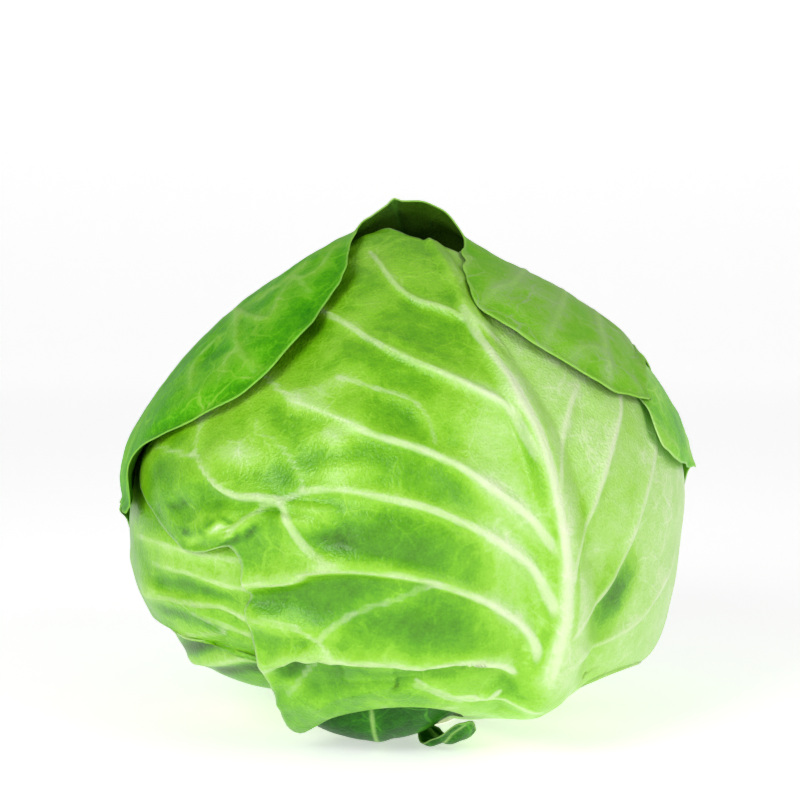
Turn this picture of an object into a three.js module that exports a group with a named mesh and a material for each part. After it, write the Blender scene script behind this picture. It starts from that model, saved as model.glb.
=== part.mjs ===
// A head of green cabbage, cut and trimmed, standing on the flat cut face of its stem.
// Millimetres, +Z up. The origin is the middle of the cut face and the head faces -Y.

import * as THREE from 'three'
import { mergeVertices } from 'three/addons/utils/BufferGeometryUtils.js'

// ---------------------------------------------------------------- driving dimensions

const HEAD_MIDDLE = new THREE.Vector3(0, 0, 82) // every leaf is shaped round this point
const STEM_RADIUS = 20 // at the cut face
const STEM_TOP = 18.3 // just under the heart, inside the ring of leaf stalks
const HEART_DEPTH = 17 // how far the heart's surface lies under the front leaf's
const LEAF_THICKNESS = 1.2
const SMALL_LEAF_THICKNESS = 1.0

// The head's outline: rise from the stem (degrees), radius, and how much further the
// right shoulder stands out than the middle.
const OUTLINE = [
  [0, 78, 0], [15, 79.5, 0], [25, 82.5, 1], [35, 87, 2], [42, 92, 3], [50, 97.5, 4], [56, 100, 3.5],
  [62, 101, 2.5], [70, 100.5, 1], [80, 99.5, 0], [90, 98.8, 0.8], [100, 96.9, 1.6], [112, 92.8, 3],
  [124, 88.6, 3.2], [136, 85.4, 2.4], [150, 84.2, 0.8], [165, 85, 0], [180, 87, 0]
]

// ---------------------------------------------------------------- leaves
//
// A leaf is a cage of points [turn, rise, lift]. Turn is in degrees round from the front, to
// the right, rise is in degrees up from the stem to the crown, and lift is how far the leaf
// stands off its own layer there. Each row of the cage is one side vein or fold, from the
// left margin through the midrib to the right margin; the rows go from stalk to tip.
//   layer        how far the whole leaf lies outside the head's outline
//   columns      how many spaces the cage has left and right of the midrib
//   across       where the mesh has its columns: -1 left margin, 0 midrib, 1 right margin
//   rib          the midrib: rise, height over the blade, half width
//   veins        per row, height of the side vein left and right of the midrib
//   sag          per space between rows, how deep the left margin's folds sink there

// A row with evenly spaced points, which arch up by `arch` degrees between midrib and margin.
function evenRow([left, right], from, rib, to, arch = 0) {
  const side = (end, count) => Array.from({ length: count }, (_, k) => {
    const s = (k + 1) / count
    return rib.map((x, n) => x + (end[n] - x) * s + (n === 1 ? arch * 4 * s * (1 - s) : 0))
  })
  return [...side(from, left).reverse(), rib, ...side(to, right)]
}

const HOOD_COLUMNS = [7, 7]
const SIDE_COLUMNS = [3, 3]
const BACK_COLUMNS = [3, 3]

const LEAVES = {
  front_leaf: {
    colour: 0xa5dc62,
    thickness: LEAF_THICKNESS,
    layer: 0,
    columns: [4, 3],
    across: [-1, -0.93, -0.84, -0.75, -0.63, -0.5, -0.38, -0.25, -0.17, -0.1, -0.045, 0,
      0.055, 0.12, 0.22, 0.34, 0.45, 0.56, 0.67, 0.78, 0.9, 1],
    rib: [[15, 1.5, 7], [30, 1.5, 9], [42, 1.5, 11], [52, 6, 12.5], [62, 8.5, 12], [75, 7, 9], [95, 5, 6.5], [120, 3, 4.5],
      [150, 2, 3.5], [170, 1.5, 3]],
    cage: [
      [[15, 15.6], [21, 15.4], [27, 15.2], [32, 15.1], [37, 15.1], [43, 15.1], [50, 15.3], [58, 15.6]],
      [[21, 31], [24, 31], [27, 30.5], [30, 30], [34, 30], [38, 30], [43, 30.5], [48, 31]],
      [[15, 48], [18, 48], [21, 47], [25, 46], [30, 44], [35, 46.5], [39, 50], [42, 54]],
      [[-2, 52.5, 1], [4, 52, 0.5], [11, 51], [19, 49], [29, 47], [36, 51], [43, 55.5], [51, 58.5]],
      [[-19, 46, 3], [-8, 53, 0.5], [2, 54], [14, 52], [29, 49], [38, 54], [49, 57.5], [63, 58, 1]],
      [[-34, 39, 10], [-20, 50, 3], [-6, 56, 0.5], [10, 55], [30, 51], [41, 56], [56, 58.5, 1], [76, 58.5, 2]],
      [[-33, 49, 4], [-14, 55, 1], [1, 59], [13, 57], [30, 53], [44, 59], [63, 63], [88, 67]],
      [[-31, 56, 1], [-16, 58, -1], [0, 60.5], [13, 59.5], [30, 54.5], [46, 60], [66, 67], [93, 80, -0.5]],
      [[-31, 62, 2], [-18, 66, 4], [-1, 63, 1], [12, 64], [30.5, 56], [48, 65], [67, 74], [96, 92, -1.5]],
      [[-31, 72, 2], [-17, 70, 3], [-4, 70], [9, 69], [30, 58.5], [46, 68], [65, 80], [96, 103, -1.5]],
      [[-31, 78, 1], [-15, 82, 2], [0, 81], [14, 77], [30, 62], [43, 71], [61, 85], [92, 112, -1.5]],
      [[-33, 85, 2], [-24, 91, 2], [-6, 87], [14, 81], [30.5, 65], [40, 74], [52, 89], [75, 114, -0.5]],
      [[-45, 83, 1], [-30, 92, 1], [-9, 92], [13, 85], [31, 67], [39, 77], [49, 92], [71, 116, -0.5]],
      [[-63, 92], [-38, 96, 1], [-17, 96], [9, 91], [31, 70], [38, 80], [47, 94], [69, 118, -0.5]],
      [[-68, 99], [-38, 104], [-12, 102], [12, 96], [30.5, 75], [37, 84], [45, 98], [67, 120, -0.5]],
      [[-64, 106], [-38, 115], [-10, 109], [10, 100], [29.5, 80], [36, 88], [44, 101], [65, 123, -0.5]],
      [[-58, 128], [-28, 139], [-3, 126], [13, 117], [27, 95], [31, 103], [37, 112], [55, 135]],
      [[-75, 150], [-45, 160, 2], [-11, 155, 1], [8, 140], [22, 126], [30, 133], [40, 142], [58, 150]],
      [[-100, 166], [-75, 173, 4], [-40, 174, 5], [-5, 171, 5], [25, 165, 3], [50, 163, 1], [75, 164], [100, 166]]
    ],
    veins: [[0, 0], [0, 0], [0, 0], [0.8, 0], [0, 0], [0, 0.5], [1, 0], [0, 0], [2, 1.4], [1.6, 0],
      [1.8, 0], [0, 1.4], [0, 0], [1.8, 0], [0.6, 0], [1.4, 1.2], [1.4, 0.8], [1.4, 0], [0, 0]],
    sag: [0, 0, 0, 0, 0, 0, 1, 1.5, 1.5, 3, 1.5, 1, 1, 0, 0, 0, 0, 0]
  },
  hood_leaf: {
    colour: 0x6fae3a,
    thickness: LEAF_THICKNESS,
    layer: 2.4,
    columns: HOOD_COLUMNS,
    across: [-1, -0.93, -0.857, -0.786, -0.714, -0.643, -0.571, -0.5, -0.429, -0.357, -0.286, -0.214,
      -0.143, -0.07, 0, 0.07, 0.143, 0.214, 0.286, 0.357, 0.429, 0.5, 0.571, 0.643, 0.714, 0.786,
      0.857, 0.93, 1],
    rib: [[15, 1.5, 7], [30, 2.5, 11], [50, 7, 13], [90, 5.5, 9], [130, 3.5, 6], [170, 1, 3]],
    cage: [
      evenRow(HOOD_COLUMNS, [-164, 15.6, -1.5], [-180, 15.2, -1.5], [-196, 15.6, -1.5]),
      evenRow(HOOD_COLUMNS, [-150, 33, -1], [-180, 30, -1], [-210, 33, -1]),
      evenRow(HOOD_COLUMNS, [-109, 68, -1.5], [-180, 50, 0], [-250, 68, 0], 1),
      evenRow(HOOD_COLUMNS, [-99, 80, -1.5], [-180, 70, 0], [-254, 88, 0], 2),
      evenRow(HOOD_COLUMNS, [-91, 84.5, -1.5], [-180, 90, 0], [-258, 105, 0.5], 4),
      evenRow(HOOD_COLUMNS, [-85, 87, -1.5], [-180, 110, 0], [-264, 117, 1], 7),
      evenRow(HOOD_COLUMNS, [-79, 88, -1], [-180, 131, 0], [-275, 122, 1], 10),
      [[-73, 88, -0.5], [-77, 102, -1], [-84, 120, -0.5], [-95, 134], [-112, 144], [-134, 149], [-160, 150],
        [-180, 151], [-200, 151], [-222, 149], [-241, 145], [-256, 139], [-268, 132], [-278, 124, 0.5],
        [-286, 118, 1]],
      [[-68, 88.5, 0.3], [-69, 100, 0.5], [-68, 112, 0], [-66, 124], [-66, 138], [-76, 153], [-110, 165, 1],
        [-180, 169, 3], [-232, 168, 4], [-262, 163, 2], [-283, 155], [-296, 142], [-300, 130],
        [-297, 120, 0.5], [-293, 114, 1.5]],
      [[-63, 89.5, 1.5], [-63, 100, 3], [-50, 107, 2.5], [-36, 114.5, 3], [-29, 124.5, 3.5], [-24, 145, 4],
        [-60, 170, 6], [-60, 178, 11.5], [-279, 172, 10], [-286, 166, 4], [-318, 159, 1], [-336, 139.5, 1.5],
        [-326, 125, 2], [-312, 114, 2], [-297, 110, 2.5]]
    ],
    veins: [[0, 0], [0, 0], [1, 1], [1.4, 1.4], [1.4, 1.4], [1.2, 1.2], [1, 1], [0.8, 0.8], [0, 0], [0, 0]],
    sag: [0, 0, 0, 0, 0, 0, 0, 0, 0]
  },
  side_leaf: {
    colour: 0x7cc926,
    thickness: SMALL_LEAF_THICKNESS,
    layer: 1.5,
    columns: SIDE_COLUMNS,
    across: [-1, -0.83, -0.67, -0.5, -0.33, -0.17, 0, 0.25, 0.5, 0.75, 1],
    rib: [[15, 0.5, 6], [50, 0.8, 8], [90, 0.5, 6], [140, 0.3, 4]],
    cage: [
      evenRow(SIDE_COLUMNS, [113, 15.8, -2], [125, 15.6, -2], [135, 15.8, -2]),
      evenRow(SIDE_COLUMNS, [110, 33, -3], [125, 30, -3.5], [142, 33, -4]),
      evenRow(SIDE_COLUMNS, [105, 60, -2.5], [125, 50, -4], [150, 56, -5]),
      evenRow(SIDE_COLUMNS, [100, 80, -1.2], [125, 72, -3.5], [152, 76, -4]),
      [[90, 93, 0.5], [100, 94.5, -0.5], [111, 93, -2], [124, 90, -3.5], [136, 92, -4], [150, 96, -4], [160, 98, -4]],
      [[73, 96, 1.5], [88, 104, 0.5], [105, 107, -2], [120, 108, -3.5], [132, 110, -4], [146, 113, -4],
        [158, 115, -4]],
      [[60, 100.5, 1.5], [74, 110, 0.5], [94, 117, -1], [112, 122, -3], [126, 125, -4], [140, 127, -4],
        [154, 128, -4]],
      [[61, 113, -0.5], [73, 122, -0.5], [88, 129, -1], [103, 134, -2.5], [118, 137, -3.5],
        [134, 139, -3.5], [148, 140, -3.5]]
    ],
    veins: [[0, 0], [0, 0], [0.4, 0.4], [0.4, 0.4], [0.4, 0.4], [0.4, 0.4], [0, 0], [0, 0]],
    sag: [0, 0, 0, 0, 0, 0, 0]
  },
  under_leaf: {
    colour: 0x8fd43f,
    thickness: SMALL_LEAF_THICKNESS,
    layer: -5,
    columns: [4, 2],
    across: [-1, -0.88, -0.75, -0.63, -0.5, -0.38, -0.25, -0.12, 0, 0.25, 0.5, 0.75, 1],
    rib: [[15, 0.3, 6], [50, 0.8, 8], [90, 0.8, 6], [140, 0.3, 4]],
    cage: [
      [[-15, 17], [-12, 16.8], [-9, 16.6], [-7, 16.5], [-5, 16.5], [0, 16.7], [5, 17]],
      [[-23, 32], [-18, 31.5], [-14, 31], [-10, 30], [-5, 30], [2, 31], [9, 32]],
      [[-31, 58, 0], [-24, 55], [-17, 53], [-11, 51], [-5, 49], [6, 52], [17, 56]],
      [[-55, 64, 4], [-42, 62, 2], [-29, 59], [-17, 56], [-5, 54], [10, 57], [25, 60]],
      [[-82, 65, 4], [-64, 73, 4.5], [-48, 71, 3.5], [-30, 66, 0.5], [-5, 60], [12, 62], [30, 66]],
      [[-110, 67, 3], [-84, 75, 3.5], [-63, 79, 3], [-37, 75, 1.5], [-5, 67], [15, 70], [34, 73]],
      [[-107, 84, 1], [-82, 84, 2], [-60, 85, 2.5], [-38, 81, 1], [-5, 76], [18, 78], [38, 81]],
      [[-103, 97], [-80, 97, 1], [-56, 95, 0.5], [-32, 92], [-5, 88], [19, 90], [42, 94]],
      [[-98, 112], [-76, 113], [-52, 113], [-28, 111], [-5, 108], [18, 110], [40, 113]],
      [[-92, 127], [-70, 131], [-47, 133], [-25, 132], [-5, 130], [14, 131], [34, 132]]
    ],
    veins: [[0, 0], [0, 0], [0, 0], [0, 0], [1, 0], [0.8, 0], [0.5, 0], [0, 0], [0, 0], [0, 0]],
    sag: [0, 0, 0, 0, 0.5, 0.5, 0, 0, 0]
  },
  low_leaf: {
    colour: 0x84cf36,
    thickness: SMALL_LEAF_THICKNESS,
    layer: -9,
    columns: [3, 4],
    across: [-1, -0.67, -0.33, 0, 0.125, 0.25, 0.375, 0.5, 0.625, 0.75, 0.875, 1],
    rib: [[15, 0.3, 6], [50, 1, 8], [90, 0.8, 6], [140, 0.3, 4]],
    cage: [
      [[-112, 17.8], [-108, 17.6], [-104, 17.5], [-100, 17.4], [-96, 17.5], [-92, 17.6], [-88, 17.7], [-84, 17.8]],
      [[-121, 32], [-114, 31], [-107, 30], [-100, 30], [-92, 30], [-84, 31], [-76, 31], [-66, 32]],
      [[-136, 50], [-124, 49], [-112, 48], [-100, 47], [-90, 45, 1], [-77, 43, 2], [-64, 41.5, 3], [-50, 40, 3]],
      [[-138, 60], [-125, 58], [-112, 56], [-100, 54, 1], [-86, 51.5, 6], [-70, 50, 9], [-54, 47, 8.5], [-38, 44.5, 5.5]],
      [[-139, 66], [-126, 64], [-113, 62], [-100, 60, 2], [-82, 58, 5.5], [-64, 56.5, 6.5], [-46, 54, 5.5], [-28, 51, 2]],
      [[-140, 72], [-127, 70], [-114, 68], [-100, 67], [-82, 64, 2.5], [-62, 62, 2.5], [-44, 60, 1.5], [-26, 58, 0.5]],
      [[-140, 86], [-127, 85], [-114, 84], [-100, 82], [-82, 81], [-62, 81], [-42, 80], [-22, 79]],
      [[-138, 100], [-126, 101], [-113, 101], [-100, 100], [-82, 101], [-62, 102], [-42, 102], [-22, 101]],
      [[-132, 118], [-122, 121], [-111, 122], [-100, 122], [-82, 123], [-62, 124], [-44, 124], [-26, 122]]
    ],
    veins: [[0, 0], [0, 0], [0, 0], [0, 0], [0, 0.8], [0, 0], [0, 0], [0, 0], [0, 0]],
    sag: [0, 0, 0, 0, 0, 0, 0, 0]
  },
  base_leaf: {
    colour: 0x4f9c17,
    thickness: SMALL_LEAF_THICKNESS,
    layer: 0,
    columns: [3, 3],
    across: [-1, -0.83, -0.67, -0.5, -0.33, -0.17, 0, 0.17, 0.33, 0.5, 0.67, 0.83, 1],
    rib: [[15, 0.4, 5], [35, 0.6, 5], [60, 0.3, 3]],
    cage: [
      [[-22, 15.6], [-17, 15.4], [-13, 15.2], [-8, 15.2], [-3, 15.2], [3, 15.4], [9, 15.6]],
      [[-33, 26, 0], [-25, 26, 1.5], [-16, 26, 2.5], [-8, 26, 2.5], [-1, 26, 2], [8, 26, 1], [15, 26, -1.5]],
      [[-37, 33, 3], [-29, 34, 6], [-18, 35, 8], [-8, 35, 8.5], [1, 35, 7], [11, 34, 3], [18.5, 34, -2]],
      [[-36, 40, 2.5], [-29, 41, 5], [-19, 42, 6.5], [-8, 42, 6], [3, 42, 4], [12, 41, 0.5], [19, 40, -2.5]],
      [[-34, 46, -2], [-27, 48, -2], [-18, 49, -1.5], [-8, 50, -2], [3, 50, -2], [11, 48, -2.7], [18, 46, -3.2]],
      [[-33, 52, -3.2], [-27, 54, -3.2], [-18, 56, -3.2], [-8, 57, -3], [2, 56, -3], [10, 54, -3.5], [17, 51, -3.9]]
    ],
    veins: [[0, 0], [0, 0], [0, 0], [0, 0], [0, 0], [0, 0]],
    sag: [0, 0, 0, 0, 0]
  },
  torn_leaf: {
    colour: 0x3d8c12,
    thickness: 0.9,
    layer: 0,
    columns: [2, 2],
    across: [-1, -0.75, -0.5, -0.25, 0, 0.25, 0.5, 0.75, 1],
    rib: [[15, 0.2, 3], [50, 0.3, 3]],
    cage: [
      [[11.5, 19, 1], [12, 19, 1.5], [12.5, 19, 1.5], [13, 19, 1.5], [13.5, 19, 1.5]],
      [[7, 27, 4], [10, 27, 4.5], [13, 27, 3.5], [15, 27, 4], [17, 27, 3]],
      [[7, 33, 8.5], [10, 34, 10], [14, 35, 8.5], [17, 34, 9.5], [20, 33, 8]],
      [[10, 37, 8], [13, 39, 6.5], [16, 39.5, 5], [20, 39.5, 6], [23.5, 36.5, 7]],
      [[13, 41, 5.5], [16, 43, 3], [19, 43.5, 2], [21.5, 42.5, 2.5], [23.5, 40, 4.5]]
    ],
    veins: [[0, 0], [0, 0], [0, 0], [0, 0], [0, 0]],
    sag: [0, 0, 0, 0]
  },
  back_leaf: {
    colour: 0x9ad653,
    thickness: SMALL_LEAF_THICKNESS,
    layer: -12.5,
    columns: BACK_COLUMNS,
    across: [-1, -0.67, -0.33, 0, 0.33, 0.67, 1],
    rib: [[15, 0.3, 6], [50, 0.8, 8], [90, 0.8, 6], [140, 0.3, 4]],
    cage: [
      evenRow(BACK_COLUMNS, [-236, 18.6, 0], [-222, 18.2, 0], [-208, 18.6, 0]),
      evenRow(BACK_COLUMNS, [-250, 32, 0], [-222, 30, 0], [-194, 32, 0]),
      evenRow(BACK_COLUMNS, [-282, 54, 0], [-222, 50, 0], [-162, 54, 0], 1),
      evenRow(BACK_COLUMNS, [-288, 76, 0], [-222, 74, 0], [-156, 76, 0], 1),
      evenRow(BACK_COLUMNS, [-287, 97, 0], [-222, 98, 0], [-157, 97, 0]),
      evenRow(BACK_COLUMNS, [-278, 120, 0], [-222, 124, 0], [-166, 120, 0]),
      evenRow(BACK_COLUMNS, [-268, 142, 0], [-222, 148, 0], [-176, 142, 0], 2),
      [[-285, 158], [-271, 163], [-252, 167], [-222, 169], [-192, 167], [-172, 163], [-158, 158]],
      [[-318, 163, 1], [-330, 168, 2], [-350, 172, 2], [-20, 173, 2], [-55, 173, 2], [-90, 170, 2], [-120, 165, 1]]
    ],
    veins: [[0, 0], [0, 0], [0.5, 0.5], [0.5, 0.5], [0.5, 0.5], [0.4, 0.4], [0, 0], [0, 0], [0, 0]],
    sag: [0, 0, 0, 0, 0, 0, 0, 0]
  },
  right_leaf: {
    colour: 0x9ad653,
    thickness: SMALL_LEAF_THICKNESS,
    layer: -8,
    columns: BACK_COLUMNS,
    across: [-1, -0.67, -0.33, 0, 0.33, 0.67, 1],
    rib: [[15, 0.3, 6], [50, 0.8, 8], [90, 0.8, 6], [140, 0.3, 4]],
    cage: [
      evenRow(BACK_COLUMNS, [66, 17.6, 0], [79, 17.2, 0], [92, 17.6, 0]),
      evenRow(BACK_COLUMNS, [55, 32, 0], [79, 30, 0], [103, 32, 0]),
      evenRow(BACK_COLUMNS, [30, 54, 0], [79, 50, 0], [128, 54, 0], 1),
      evenRow(BACK_COLUMNS, [24, 76, 0], [79, 74, 0], [134, 76, 0], 1),
      evenRow(BACK_COLUMNS, [22, 97, 0], [79, 98, 0], [134, 97, 0]),
      evenRow(BACK_COLUMNS, [25, 118, 0], [79, 122, 0], [128, 118, 0]),
      evenRow(BACK_COLUMNS, [32, 134, 0], [79, 140, 0], [120, 134, 0])
    ],
    veins: [[0, 0], [0, 0], [0.5, 0.5], [0.5, 0.5], [0.5, 0.5], [0.4, 0.4], [0, 0]],
    sag: [0, 0, 0, 0, 0, 0]
  }
}

const { degToRad, radToDeg, clamp } = THREE.MathUtils

// ---------------------------------------------------------------- the head's outline

function toward(turn, rise) {
  const t = degToRad(turn)
  const r = degToRad(rise)
  return new THREE.Vector3(Math.sin(r) * Math.sin(t), -Math.sin(r) * Math.cos(t), -Math.cos(r))
}

const riseOf = direction => radToDeg(Math.acos(clamp(-direction.z, -1, 1)))

// Smooth curve through points [x, y, ...] with uneven steps in x.
function smoothTable(table, x) {
  const last = table.length - 1
  let i = 0
  while (i < last - 1 && x > table[i + 1][0]) i++
  const slope = (j, k) => {
    const a = table[Math.max(j - 1, 0)]
    const b = table[Math.min(j + 1, last)]
    return (b[k] - a[k]) / (b[0] - a[0])
  }
  const step = table[i + 1][0] - table[i][0]
  const s = clamp((x - table[i][0]) / step, 0, 1)
  return table[i].slice(1).map((_, n) => {
    const k = n + 1
    const [p, q] = [table[i][k], table[i + 1][k]]
    const [a, b] = [slope(i, k) * step, slope(i + 1, k) * step]
    return p + s * (a + s * (3 * (q - p) - 2 * a - b + s * (2 * (p - q) + a + b)))
  })
}

function headRadius(direction) {
  const flat = Math.hypot(direction.x, direction.y)
  const [radius, lean] = smoothTable(OUTLINE, riseOf(direction))
  return radius + (flat > 1e-6 ? (lean * direction.x) / flat : 0)
}

// ---------------------------------------------------------------- a leaf's surface

// Catmull-Rom spline through rows of numbers, straight at its ends.
function spline(points, t) {
  const last = points.length - 1
  const i = clamp(Math.floor(t), 0, last - 1)
  const s = t - i
  const [p1, p2] = [points[i], points[i + 1]]
  const p0 = i > 0 ? points[i - 1] : p1.map((x, k) => 2 * x - p2[k])
  const p3 = i < last - 1 ? points[i + 2] : p2.map((x, k) => 2 * x - p1[k])
  return p1.map((_, k) => {
    const [a, b, c, d] = [p0[k], p1[k], p2[k], p3[k]]
    return b + 0.5 * s * (c - a + s * (2 * a - 5 * b + 4 * c - d + s * (3 * (b - c) + d - a)))
  })
}

// The leaf's direction and lift at `u` across (-1 left margin, 0 midrib, 1 right margin)
// and `v` along, counted in rows.
function cagePoint(leaf, u, v) {
  const [left, right] = leaf.columns
  const across = leaf.vectors.map(row => u < 0
    ? spline(row.slice(0, left + 1), (u + 1) * left)
    : spline(row.slice(left), u * right))
  const [x, y, z, lift] = spline(across, v)
  return { direction: new THREE.Vector3(x, y, z).normalize(), lift }
}

const dome = x => (Math.abs(x) < 1 ? (1 - x * x) ** 2 : 0)

// Height of midrib and side veins over the blade.
function veinHeight(leaf, u, v) {
  const rows = leaf.cage.length - 1
  const here = cagePoint(leaf, u, v).direction
  const radius = headRadius(here)
  const middle = cagePoint(leaf, 0, v).direction
  const [ribHeight, ribWidth] = smoothTable(leaf.rib, riseOf(middle))
  const rib = ribHeight * dome((here.angleTo(middle) * radius) / ribWidth)
  const row = Math.round(v)
  const next = cagePoint(leaf, u, row < rows ? row + 1 : row - 1).direction
  const spacing = cagePoint(leaf, u, row).direction.angleTo(next) * radius
  const height = leaf.veins[row][u < 0 ? 0 : 1] * (1 - 0.6 * Math.abs(u) ** 3)
  const vein = height * dome((Math.abs(v - row) * spacing) / 4)
  return Math.max(rib, vein)
}

// How far the blade sinks between two folds; the folds are deepest at the left margin.
function sagDepth(leaf, u, v) {
  const gap = Math.min(Math.floor(v), leaf.sag.length - 1)
  const share = clamp((-u - 0.3) / 0.5, 0, 1)
  return leaf.sag[gap] * share * share * (3 - 2 * share) * Math.sin(Math.PI * (v - gap)) ** 2
}

function leafPoint(leaf, u, v, height) {
  const { direction, lift } = cagePoint(leaf, u, v)
  const reach = headRadius(direction) + leaf.layer + lift + height - sagDepth(leaf, u, v)
  return direction.multiplyScalar(reach).add(HEAD_MIDDLE)
}

// Rows of the mesh: on every row of the cage, and between them where the rows lie far apart.
function alongSteps(leaf) {
  const steps = []
  for (let row = 0; row < leaf.cage.length - 1; row++) {
    const width = Math.max(...[-1, -0.5, 0, 0.5, 1].map(u =>
      cagePoint(leaf, u, row).direction.angleTo(cagePoint(leaf, u, row + 1).direction) * 95))
    const inner = width > 36 ? [0.25, 0.5, 0.75] : width > 13 ? [0.3, 0.7] : width > 7 ? [0.5] : []
    steps.push(row, ...inner.map(s => row + s))
  }
  return [...steps, leaf.cage.length - 1]
}

// A closed blade: outer face with its veins, smooth inner face, and a rim round the margin.
function leafGeometry(leaf) {
  leaf.vectors = leaf.cage.map(row =>
    row.map(([turn, rise, lift = 0]) => [...toward(turn, rise).toArray(), lift]))
  const [us, vs] = [leaf.across, alongSteps(leaf)]
  const [nu, nv] = [us.length, vs.length]
  const blade = vs.map(v => us.map(u => leafPoint(leaf, u, v, 0)))
  const outer = vs.map(v => us.map(u => leafPoint(leaf, u, v, veinHeight(leaf, u, v))))
  const inner = blade.map((row, j) => row.map((p, i) => {
    const alongU = row[Math.min(i + 1, nu - 1)].clone().sub(row[Math.max(i - 1, 0)])
    const alongV = blade[Math.min(j + 1, nv - 1)][i].clone().sub(blade[Math.max(j - 1, 0)][i])
    const normal = alongU.cross(alongV).normalize()
    if (normal.dot(p.clone().sub(HEAD_MIDDLE)) < 0) normal.negate()
    return p.clone().addScaledVector(normal, -leaf.thickness)
  }))
  // where the columns run round the head the other way, every face is turned over
  const [m, n] = [nu >> 1, nv >> 1]
  const middle = blade[n][m]
  const facing = blade[n][m + 1].clone().sub(middle).cross(blade[n + 1][m].clone().sub(middle))
  const outward = facing.dot(middle.clone().sub(HEAD_MIDDLE)) > 0
  const at = (layer, i, j) => layer * nu * nv + j * nu + i
  const index = []
  const triangle = (a, b, c) => index.push(a, ...(outward ? [b, c] : [c, b]))
  const quad = (a, b, c, d) => { triangle(a, b, c); triangle(a, c, d) }
  for (let j = 0; j < nv - 1; j++) {
    for (let i = 0; i < nu - 1; i++) {
      quad(at(0, i, j), at(0, i + 1, j), at(0, i + 1, j + 1), at(0, i, j + 1))
      const [a, b, c, d] = [at(1, i, j), at(1, i + 1, j), at(1, i + 1, j + 1), at(1, i, j + 1)]
      triangle(a, c, b)
      triangle(a, d, c)
    }
  }
  for (let i = 0; i < nu - 1; i++) {
    quad(at(1, i, 0), at(1, i + 1, 0), at(0, i + 1, 0), at(0, i, 0))
    quad(at(0, i, nv - 1), at(0, i + 1, nv - 1), at(1, i + 1, nv - 1), at(1, i, nv - 1))
  }
  for (let j = 0; j < nv - 1; j++) {
    quad(at(0, 0, j), at(0, 0, j + 1), at(1, 0, j + 1), at(1, 0, j))
    quad(at(1, nu - 1, j), at(1, nu - 1, j + 1), at(0, nu - 1, j + 1), at(0, nu - 1, j))
  }
  const points = [...outer.flat(), ...inner.flat()]
  const geometry = new THREE.BufferGeometry()
  geometry.setAttribute('position', new THREE.Float32BufferAttribute(points.flatMap(p => p.toArray()), 3))
  geometry.setIndex(index)
  return geometry
}

// ---------------------------------------------------------------- heart and stem

// The tightly folded heart, a slightly ridged ball under the wrapper leaves.
function heartGeometry() {
  const ball = new THREE.SphereGeometry(1, 28, 18).rotateX(Math.PI / 2)
  ball.deleteAttribute('normal')
  ball.deleteAttribute('uv')
  const geometry = mergeVertices(ball)
  const position = geometry.getAttribute('position')
  const p = new THREE.Vector3()
  for (let i = 0; i < position.count; i++) {
    p.fromBufferAttribute(position, i).normalize()
    const fold = 0.5 * Math.cos(5 * Math.atan2(p.y, p.x) + 4 * p.z) * (1 - p.z * p.z)
    p.multiplyScalar(headRadius(p) - HEART_DEPTH + fold).add(HEAD_MIDDLE)
    position.setXYZ(i, p.x, p.y, p.z)
  }
  return geometry
}

// The stump of the stem: a flat cut face, a slightly rounded edge, and a waist above it.
function stemGeometry() {
  const profile = [
    [0, 0], [STEM_RADIUS - 1.2, 0], [STEM_RADIUS - 0.3, 0.5], [STEM_RADIUS, 1.5],
    [STEM_RADIUS - 0.6, 6], [STEM_RADIUS - 0.9, STEM_TOP - 1], [STEM_RADIUS - 2.5, STEM_TOP], [0, STEM_TOP]
  ]
  return new THREE.LatheGeometry(profile.map(([r, z]) => new THREE.Vector2(r, z)), 32).rotateX(Math.PI / 2)
}

// ---------------------------------------------------------------- the scene graph

const group = new THREE.Group()

function add(name, geometry, color, roughness) {
  const mesh = new THREE.Mesh(geometry, new THREE.MeshStandardMaterial({ color, roughness, metalness: 0 }))
  mesh.name = name
  group.add(mesh)
}

for (const [name, leaf] of Object.entries(LEAVES)) {
  add(name, leafGeometry(leaf), leaf.colour, 0.45)
}
add('heart', heartGeometry(), 0xd8e8a8, 0.5)
add('stem', stemGeometry(), 0xdfe6bd, 0.7)

export default group
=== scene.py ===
"""Green cabbage head: finely veined leaves, heart and stem, dressed over the solid model's frame.

All lengths here are in millimetres unless a name says otherwise. Places on the head are given as
(turn, rise): degrees round from the front, to the right, and degrees up from the stem to the crown.
"""

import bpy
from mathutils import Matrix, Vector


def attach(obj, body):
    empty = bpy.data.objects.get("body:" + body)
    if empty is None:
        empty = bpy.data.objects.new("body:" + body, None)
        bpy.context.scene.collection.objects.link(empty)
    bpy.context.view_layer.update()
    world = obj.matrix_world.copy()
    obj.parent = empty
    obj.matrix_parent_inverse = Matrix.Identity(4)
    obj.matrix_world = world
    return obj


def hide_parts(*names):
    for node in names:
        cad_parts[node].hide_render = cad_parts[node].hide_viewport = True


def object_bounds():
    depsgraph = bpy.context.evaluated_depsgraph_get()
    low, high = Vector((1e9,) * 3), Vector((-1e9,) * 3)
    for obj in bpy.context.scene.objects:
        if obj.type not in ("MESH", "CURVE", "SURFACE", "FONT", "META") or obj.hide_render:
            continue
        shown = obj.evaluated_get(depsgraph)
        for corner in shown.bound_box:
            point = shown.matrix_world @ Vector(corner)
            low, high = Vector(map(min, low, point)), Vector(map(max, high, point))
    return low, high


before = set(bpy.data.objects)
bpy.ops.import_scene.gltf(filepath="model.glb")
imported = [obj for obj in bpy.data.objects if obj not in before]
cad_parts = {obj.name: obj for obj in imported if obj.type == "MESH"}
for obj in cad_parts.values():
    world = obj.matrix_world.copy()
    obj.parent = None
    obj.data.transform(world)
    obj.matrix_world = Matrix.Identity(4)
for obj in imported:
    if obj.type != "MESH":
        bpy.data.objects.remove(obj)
CAD_BOX = [list(corner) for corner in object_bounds()]

from itertools import product
from math import radians

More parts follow.
